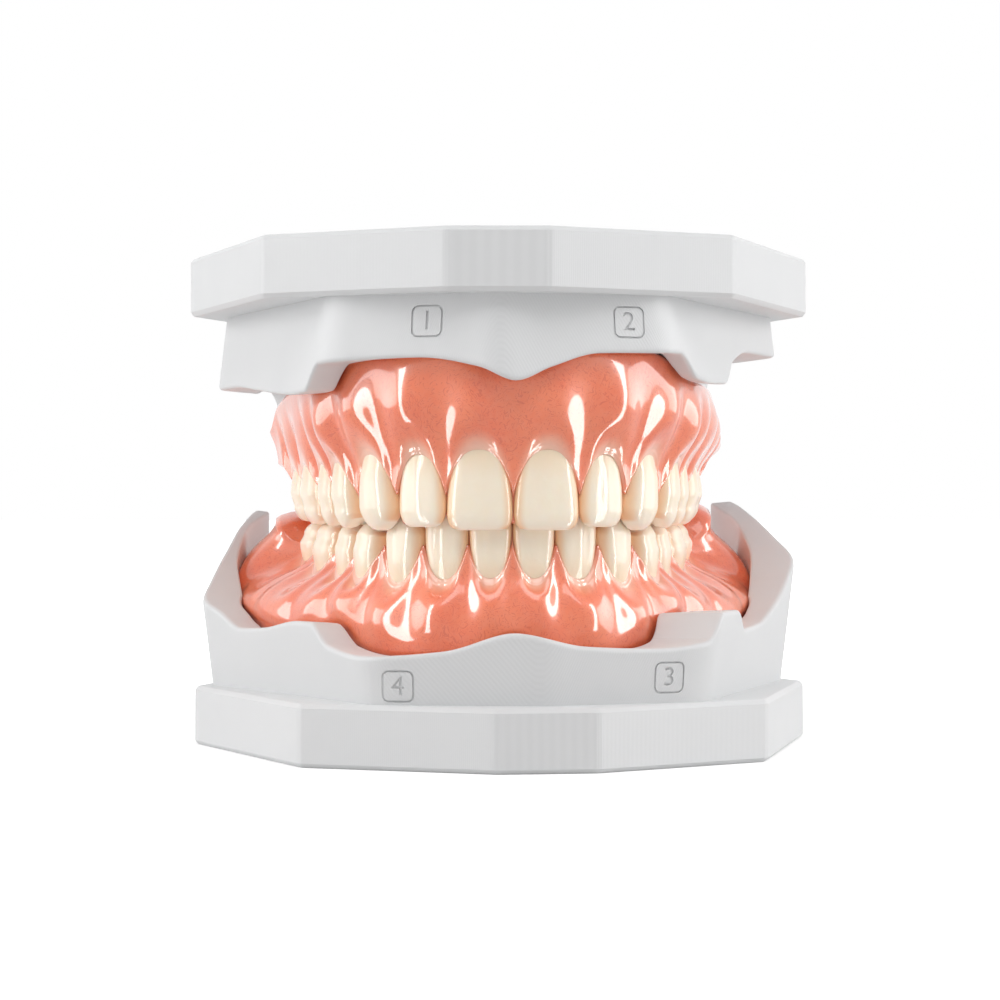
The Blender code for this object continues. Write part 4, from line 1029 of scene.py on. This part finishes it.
def tooth_material(settings):
    """Cream acrylic, warmer at the neck, with painted shade and warm bounce light where the teeth touch."""
    board = new_material(
        "cream_tooth_acrylic", Roughness=0.4, Coat_Weight=0.55, Coat_Roughness=settings.roughness,
        Subsurface_Weight=0.18, Subsurface_Radius=(1.0, 0.6, 0.36), Subsurface_Scale=0.0012,
        Specular_IOR_Level=0.1,
    )
    place = board.place()
    neck, interdental_shade = board.attribute("neck"), board.attribute("interdental_shade")
    neck_colour = rgba(settings.neck_colour)
    colour = board.blend(board.between(neck, 0.0, 0.3), rgba(settings.edge_colour), rgba(settings.colour))
    colour = board.blend(board.between(neck, 0.55, 1.0), colour, neck_colour)
    clouds = board.between(board.cloud(place, 0.5, 3.0), 0.4, 0.75, 0.0, 0.2)
    colour = board.blend(clouds, colour, neck_colour)
    # Painted shade: the sides where two teeth touch are darkened to orange brown, standing in for shadow and
    # the gum's warm bounce light between them
    board.feed("Base Color", board.blend(interdental_shade * 0.8, colour, rgba(settings.interdental_shade_colour)))
    board.bump(board.cloud(place, 1.6, 2.0), 0.03)
    return board.owner


def amount(name, description, default, unit="LENGTH"):
    return bpy.props.FloatProperty(name=name, description=description, default=default, unit=unit)


def share(name, description, default):
    options = {"default": default, "min": 0.0, "max": 1.0, "subtype": "FACTOR"}
    return bpy.props.FloatProperty(name=name, description=description, **options)


def colour_of(name, description, default):
    options = {"default": default, "size": 3, "min": 0.0, "max": 1.0, "subtype": "COLOR"}
    return bpy.props.FloatVectorProperty(name=name, description=description, **options)


class DentureModelSettings(bpy.types.PropertyGroup):
    """Sizes and colours of the printed jaw models."""

    layer: amount("Layer", "Height of one printed layer", 0.1 * MM)
    layer_depth: amount("Layer depth", "Depth of the groove between two layers", 0.012 * MM)
    step: amount("Step", "Distance between the sections of the body", 0.4 * MM)
    rim_round: amount("Rim rounding", "How far the rim's edge is rounded", 0.8 * MM)
    slab_round: amount("Slab rounding", "Radius of the slab's edges", 0.6 * MM)
    number_size: amount("Number size", "Height of an engraved number", 2.6 * MM)
    number_depth: amount("Number depth", "Depth of the engraving", 0.3 * MM)
    colour: colour_of("Colour", "Colour of the resin", (0.70, 0.705, 0.71))
    shade: colour_of("Shade", "Colour of the resin's darker patches", (0.655, 0.66, 0.67))


class DentureGumSettings(bpy.types.PropertyGroup):
    """Sizes and colours of the pink bases."""

    step: amount("Step", "Distance between the sections of a base", 0.26 * MM)
    end_round: amount("End rounding", "How far the ends of a base are rounded", 0.35 * MM)
    roughness: share("Roughness", "Roughness of the polish", 0.06)
    fibres: share("Fibres", "Strength of the red fibres", 0.36)
    colour: colour_of("Colour", "Colour of the acrylic", (0.92, 0.222, 0.094))
    deep_colour: colour_of("Deep colour", "Colour of its darker patches", (0.87, 0.172, 0.07))
    pale_colour: colour_of("Pale colour", "Colour of its paler grain", (0.88, 0.26, 0.14))
    fibre_colour: colour_of("Fibre colour", "Colour of the fibres", (0.60, 0.07, 0.04))
    neck_colour: colour_of("Neck colour", "Colour round the necks of the teeth", (0.94, 0.56, 0.42))


class DentureToothSettings(bpy.types.PropertyGroup):
    """Colours of the teeth."""

    roughness: share("Roughness", "Roughness of the teeth's polish", 0.09)
    colour: colour_of("Colour", "Colour of the crown", (0.985, 0.865, 0.705))
    edge_colour: colour_of("Edge colour", "Colour of the biting edge", (0.97, 0.86, 0.72))
    neck_colour: colour_of("Neck colour", "Colour towards the gum", (0.95, 0.78, 0.58))
    # Colour of the painted shade and warm bounce light between touching teeth
    interdental_shade_colour: colour_of("Interdental shade colour", "Colour where two teeth touch", (0.90, 0.54, 0.28))


class DentureStageSettings(bpy.types.PropertyGroup):
    """Light, floor and camera."""

    lens: bpy.props.FloatProperty(name="Lens", description="Focal length in millimetres", default=91.944)
    distance: amount("Distance", "From the camera to the incisors", 0.33)
    turn: bpy.props.FloatProperty(
        name="Turn", description="How far the camera stands round the denture", default=math.radians(-3),
        subtype="ANGLE",
    )
    height: amount("Height", "Height of the camera", 34.65 * MM)
    aside: amount("Aside", "Shift of the camera to the viewer's left", 1.7 * MM)
    strip_power: amount("Strip lamps", "Power of each strip that shows in the gloss", 5.8, "POWER")
    side_power: amount("Side lamps", "Power of each broad side lamp", 2.95, "POWER")
    top_power: amount("Top lamp", "Power of the top lamp", 1.15, "POWER")
    room: share("Room light", "Strength of the room's even light", 0.485)


def clear_selection():
    for thing in bpy.context.selected_objects:
        thing.select_set(False)
    bpy.context.view_layer.objects.active = None


def choose(piece):
    clear_selection()
    piece.select_set(True)
    bpy.context.view_layer.objects.active = piece


def edit_all(piece, *steps):
    """Runs each (edit mode operator, options) on all of a piece."""
    choose(piece)
    bpy.ops.object.mode_set(mode="EDIT")
    for operator, options in steps:
        bpy.ops.mesh.select_all(action="SELECT")
        operator(**options)
    bpy.ops.object.mode_set(mode="OBJECT")


def finish_piece(piece, material, slot, *nodes):
    piece.data.materials.clear()
    piece.data.materials.append(material)
    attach(piece, ROOT)
    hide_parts(*nodes)


def cut_or_join(piece, other, operation):
    """Applies one exact Boolean and takes the other shape away."""
    choose(piece)
    modifier = piece.modifiers.new(operation.lower(), "BOOLEAN")
    modifier.operation, modifier.solver, modifier.object = operation, "EXACT", other
    bpy.ops.object.modifier_apply(modifier=modifier.name)
    bpy.data.objects.remove(other, do_unlink=True)
    if not piece.data.polygons:
        raise RuntimeError(f"{piece.name} was lost in its {operation.lower()}")


def shape_slab(jaw, rounding):
    """The flat slab of a model: its outline drawn upwards, with soft edges."""
    clear_selection()
    corners = [jaw.world(x, depth, 0.0)[:2] for x, depth in jaw.slab_outline()]
    low, high = sorted(jaw.world(0, 0, rise)[2] for rise in (jaw.slab_rise, jaw.height))
    bpy.ops.mesh.primitive_circle_add(vertices=len(corners), radius=MM, fill_type="NGON", location=(0, 0, 0))
    slab = bpy.context.object
    slab.name = slab.data.name = f"{jaw.name}_model_print"
    for vert, (x, y) in zip(slab.data.vertices, corners):
        vert.co = (x, y, low)
    edit_all(
        slab,
        (bpy.ops.mesh.extrude_region_move, {"TRANSFORM_OT_translate": {"value": (0, 0, high - low)}}),
        (bpy.ops.mesh.bevel, {"offset": rounding, "segments": 3, "profile": 0.3, "affect": "EDGES"}),
        (bpy.ops.mesh.normals_make_consistent, {"inside": False}),
    )
    return slab


class DENTURE_OT_models(bpy.types.Operator):
    """Shape the two printed jaw models: a slab and a body printed as one"""

    bl_idname = "denture.shape_models"
    bl_label = "Jaw models"

    def execute(self, context):
        settings = context.scene.denture_models
        material = print_material(settings)
        for jaw in jaws.values():
            slab = shape_slab(jaw, settings.slab_round)
            body = shape_body(jaw, settings.step / MM, settings.rim_round / MM)
            cut_or_join(slab, body, "UNION")
            finish_piece(slab, material, "print", f"{jaw.name}_model")
        return {"FINISHED"}


class DENTURE_OT_numbers(bpy.types.Operator):
    """Engrave the plain number of each quarter in a shallow frame on the models"""

    bl_idname = "denture.engrave_numbers"
    bl_label = "Quarter numbers"

    def execute(self, context):
        settings = context.scene.denture_models
        for word, jaw_name, x, level in NUMBERS:
            model = bpy.data.objects[f"{jaw_name}_model_print"]
            for cutter in number_cutters(model, word, x * MM, level * MM, settings):
                cut_or_join(model, cutter, "DIFFERENCE")
        for jaw in jaws.values():
            model = bpy.data.objects[f"{jaw.name}_model_print"]
            choose(model)
            bpy.ops.object.shade_smooth_by_angle(angle=math.radians(19))
            modifier = model.modifiers.new("even_shading", "WEIGHTED_NORMAL")
            modifier.keep_sharp = True
            bpy.ops.object.modifier_apply(modifier=modifier.name)
        return {"FINISHED"}


# Each number: figure, jaw, distance from the middle and height of its centre
FIGURE_SIZE, FRAME_SIZE = 1.35, 1.62
FRAME_CORNER, FRAME_LINE = 0.22, 0.06
NUMBERS = (
    ("1", "upper", -11.5, 57.5),
    ("2", "upper", 14.5, 57.5),
    ("3", "lower", 20.0, 11.65),
    ("4", "lower", -15.2, 10.75),
)


def number_cutters(model, word, x, level, settings):
    """The figure and its frame as closed shapes, standing in the model's front wall."""
    clear_selection()
    hit, where, normal, _ = model.ray_cast(Vector((x, -1.0, level)), Vector((0, 1, 0)))
    if not hit:
        raise RuntimeError(f"no wall for the number {word}")
    side = Vector((0, 0, 1)).cross(normal).normalized()
    turn = Matrix((side, normal.cross(side), normal)).transposed().to_4x4()
    turn.translation = where
    size, depth = settings.number_size, settings.number_depth
    bpy.ops.object.text_add()
    figure = bpy.context.object
    figure.data.body, figure.data.size = word, size * FIGURE_SIZE
    figure.data.align_x, figure.data.align_y = "CENTER", "CENTER"
    figure.data.extrude, figure.data.resolution_u = depth, 4
    bpy.ops.object.convert(target="MESH")
    frame_size = size * FRAME_SIZE
    bpy.ops.mesh.primitive_plane_add(size=frame_size)
    border = bpy.context.object
    edit_all(
        border,
        (bpy.ops.mesh.bevel, {"offset": frame_size * FRAME_CORNER, "segments": 6, "affect": "VERTICES"}),
        (bpy.ops.mesh.inset, {"thickness": frame_size * FRAME_LINE}),
    )
    bpy.ops.object.mode_set(mode="EDIT")
    bpy.ops.mesh.delete(type="FACE")
    bpy.ops.object.mode_set(mode="OBJECT")
    edit_all(
        border,
        (bpy.ops.mesh.extrude_region_move, {"TRANSFORM_OT_translate": {"value": (0, 0, 2 * depth)}}),
        (bpy.ops.transform.translate, {"value": (0, 0, -depth)}),
    )
    for cutter in (figure, border):
        choose(cutter)
        cutter.matrix_world = turn
        bpy.ops.object.transform_apply(location=True, rotation=True, scale=True)
        edit_all(
            cutter,
            (bpy.ops.mesh.remove_doubles, {"threshold": NEAR}),
            (bpy.ops.mesh.normals_make_consistent, {"inside": False}),
        )
    return figure, border


class DENTURE_OT_bases(bpy.types.Operator):
    """Shape the upper and the lower pink base"""

    bl_idname = "denture.shape_bases"
    bl_label = "Pink bases"

    def execute(self, context):
        settings = context.scene.denture_gum
        material = gum_material(settings)
        for jaw in jaws.values():
            base = shape_base(jaw, settings.step / MM, settings.end_round / MM)
            finish_piece(base, material, "gum_acrylic", f"{jaw.name}_denture_base")
        return {"FINISHED"}


class DENTURE_OT_teeth(bpy.types.Operator):
    """Shape the twenty-eight teeth, each its own piece"""

    bl_idname = "denture.shape_teeth"
    bl_label = "Teeth"

    def execute(self, context):
        material = tooth_material(context.scene.denture_teeth)
        for jaw in jaws.values():
            for tooth in jaw.teeth:
                piece = shape_tooth(jaw, tooth)
                finish_piece(piece, material, "tooth_acrylic", f"{jaw.name}_{tooth.name}")
        return {"FINISHED"}


# Where the lamps stand on the viewer's right, and their width and height, in metres
STRIP_PLACE, STRIP_SIZE = (0.43, -0.24, 0.02), (0.12, 1.1)
SIDE_PLACE, SIDE_SIZE = (0.70, 0.08, 0.15), (0.5, 0.5)
TOP_PLACE, TOP_SIZE = (0.0, -0.26, 0.47), (0.4, 0.3)
LAMP_TARGET = (0.0, 0.0, 0.035)
FLOOR_SIZE = 8.0
BLACK, FLOOR_GREY, WHITE = (0.0, 0.0, 0.0), (0.8, 0.8, 0.8), (1.0, 1.0, 1.0)
SENSOR_WIDTH, NEAREST_SEEN = 36.0, 0.01


def add_lamp(name, side, place, size, power):
    """A soft rectangular lamp that faces the models, on one side (-1, 1) of them."""
    place = Vector((side * place[0], *place[1:]))
    lamp = bpy.data.lights.new(name, "AREA")
    lamp.shape, (lamp.size, lamp.size_y) = "RECTANGLE", size
    lamp.energy = power
    stand = bpy.data.objects.new(name, lamp)
    stand.location = place
    stand.rotation_euler = (Vector(LAMP_TARGET) - place).to_track_quat("-Z", "Y").to_euler()
    stand.visible_camera = False
    bpy.context.scene.collection.objects.link(stand)
    return stand


def seen_directly(board):
    """1 for rays that see the backdrop itself, straight, in a gloss or through glass."""
    names = ("Is Camera Ray", "Is Glossy Ray", "Is Transmission Ray")
    camera, gloss, glass = (board.node("ShaderNodeLightPath", output=name) for name in names)
    return camera.most(gloss).most(glass)


def floor_material():
    """A pale floor that fades to the white backdrop away from the models, and keeps their shadow."""
    board = new_material("pale_floor", Roughness=0.9, Specular_IOR_Level=0.0, Base_Color=rgba(FLOOR_GREY))
    board.shader.inputs["Emission Strength"].default_value = 1.0
    metres = board.node("ShaderNodeTexCoord", output="Object")
    away = board.vector("LENGTH", metres, output="Value")
    glow = board.between(away, 0.05, 0.2, 0.35, 1.0) * seen_directly(board)
    board.feed("Emission Color", board.blend(glow, rgba(BLACK), rgba(WHITE)))
    return board.owner


def white_room(level):
    """An even room light, seen as white."""
    board = Board(bpy.data.worlds.new("white_room"))
    lights = [
        board.node("ShaderNodeBackground", None, {"Color": rgba(WHITE), "Strength": strength})
        for strength in (level, 1.0)
    ]
    mixed = board.node("ShaderNodeMixShader", None, (seen_directly(board), *lights))
    board.tree.links.new(mixed.socket, board.tree.nodes["World Output"].inputs["Surface"])
    return board.owner


class DENTURE_OT_stage(bpy.types.Operator):
    """Set the floor, the soft light and the camera"""

    bl_idname = "denture.set_stage"
    bl_label = "Stage"

    def execute(self, context):
        settings = context.scene.denture_stage
        clear_selection()
        bpy.ops.mesh.primitive_plane_add(size=FLOOR_SIZE, location=(0, 0, 0))
        floor = context.object
        floor.name = "pale_floor"
        floor.visible_glossy = False
        floor.data.materials.append(floor_material())
        context.scene.world = white_room(settings.room)

        for side, name in ((-1, "left"), (1, "right")):
            strip = add_lamp(f"{name}_strip", side, STRIP_PLACE, STRIP_SIZE, settings.strip_power)
            strip.visible_diffuse = False
            add_lamp(f"{name}_panel", side, SIDE_PLACE, SIDE_SIZE, settings.side_power)
        add_lamp("top_panel", 1, TOP_PLACE, TOP_SIZE, settings.top_power)

        direction = Vector((math.sin(settings.turn), -math.cos(settings.turn), 0))
        right = Vector((math.cos(settings.turn), math.sin(settings.turn), 0))
        origin = jaws["upper"].origin
        incisors = Vector((-origin[0] * MM, -origin[1] * MM, settings.height))
        camera = bpy.data.cameras.new("photo_camera")
        camera.sensor_width, camera.lens, camera.clip_start = SENSOR_WIDTH, settings.lens, NEAREST_SEEN
        stand = bpy.data.objects.new("photo_camera", camera)
        stand.location = incisors + direction * settings.distance - right * settings.aside
        stand.rotation_euler = (-direction).to_track_quat("-Z", "Y").to_euler()
        context.scene.collection.objects.link(stand)
        context.scene.camera = stand
        context.scene.view_settings.view_transform = "Standard"
        return {"FINISHED"}


class DENTURE_PT_panel(bpy.types.Panel):
    """The steps of the denture, in order."""

    bl_idname = "DENTURE_PT_panel"
    bl_label = "Full denture"
    bl_space_type = "VIEW_3D"
    bl_region_type = "UI"
    bl_category = "Denture"

    def draw(self, context):
        for operator, group in STEPS:
            box = self.layout.box()
            box.operator(operator.bl_idname)
            settings = getattr(context.scene, group)
            for name in type(settings).__annotations__:
                box.prop(settings, name)


STEPS = (
    (DENTURE_OT_models, "denture_models"),
    (DENTURE_OT_numbers, "denture_models"),
    (DENTURE_OT_bases, "denture_gum"),
    (DENTURE_OT_teeth, "denture_teeth"),
    (DENTURE_OT_stage, "denture_stage"),
)
SETTINGS = {
    "denture_models": DentureModelSettings,
    "denture_gum": DentureGumSettings,
    "denture_teeth": DentureToothSettings,
    "denture_stage": DentureStageSettings,
}


def register():
    for kind in (*SETTINGS.values(), *(operator for operator, _ in STEPS), DENTURE_PT_panel):
        bpy.utils.register_class(kind)
    for name, kind in SETTINGS.items():
        setattr(bpy.types.Scene, name, bpy.props.PointerProperty(type=kind))


def unregister():
    for name in SETTINGS:
        delattr(bpy.types.Scene, name)
    for kind in (DENTURE_PT_panel, *(operator for operator, _ in STEPS[::-1]), *SETTINGS.values()):
        bpy.utils.unregister_class(kind)


def main():
    register()
    bpy.ops.denture.shape_models()
    bpy.ops.denture.engrave_numbers()
    bpy.ops.denture.shape_bases()
    bpy.ops.denture.shape_teeth()
    bpy.ops.denture.set_stage()


if __name__ == "__main__":
    main()
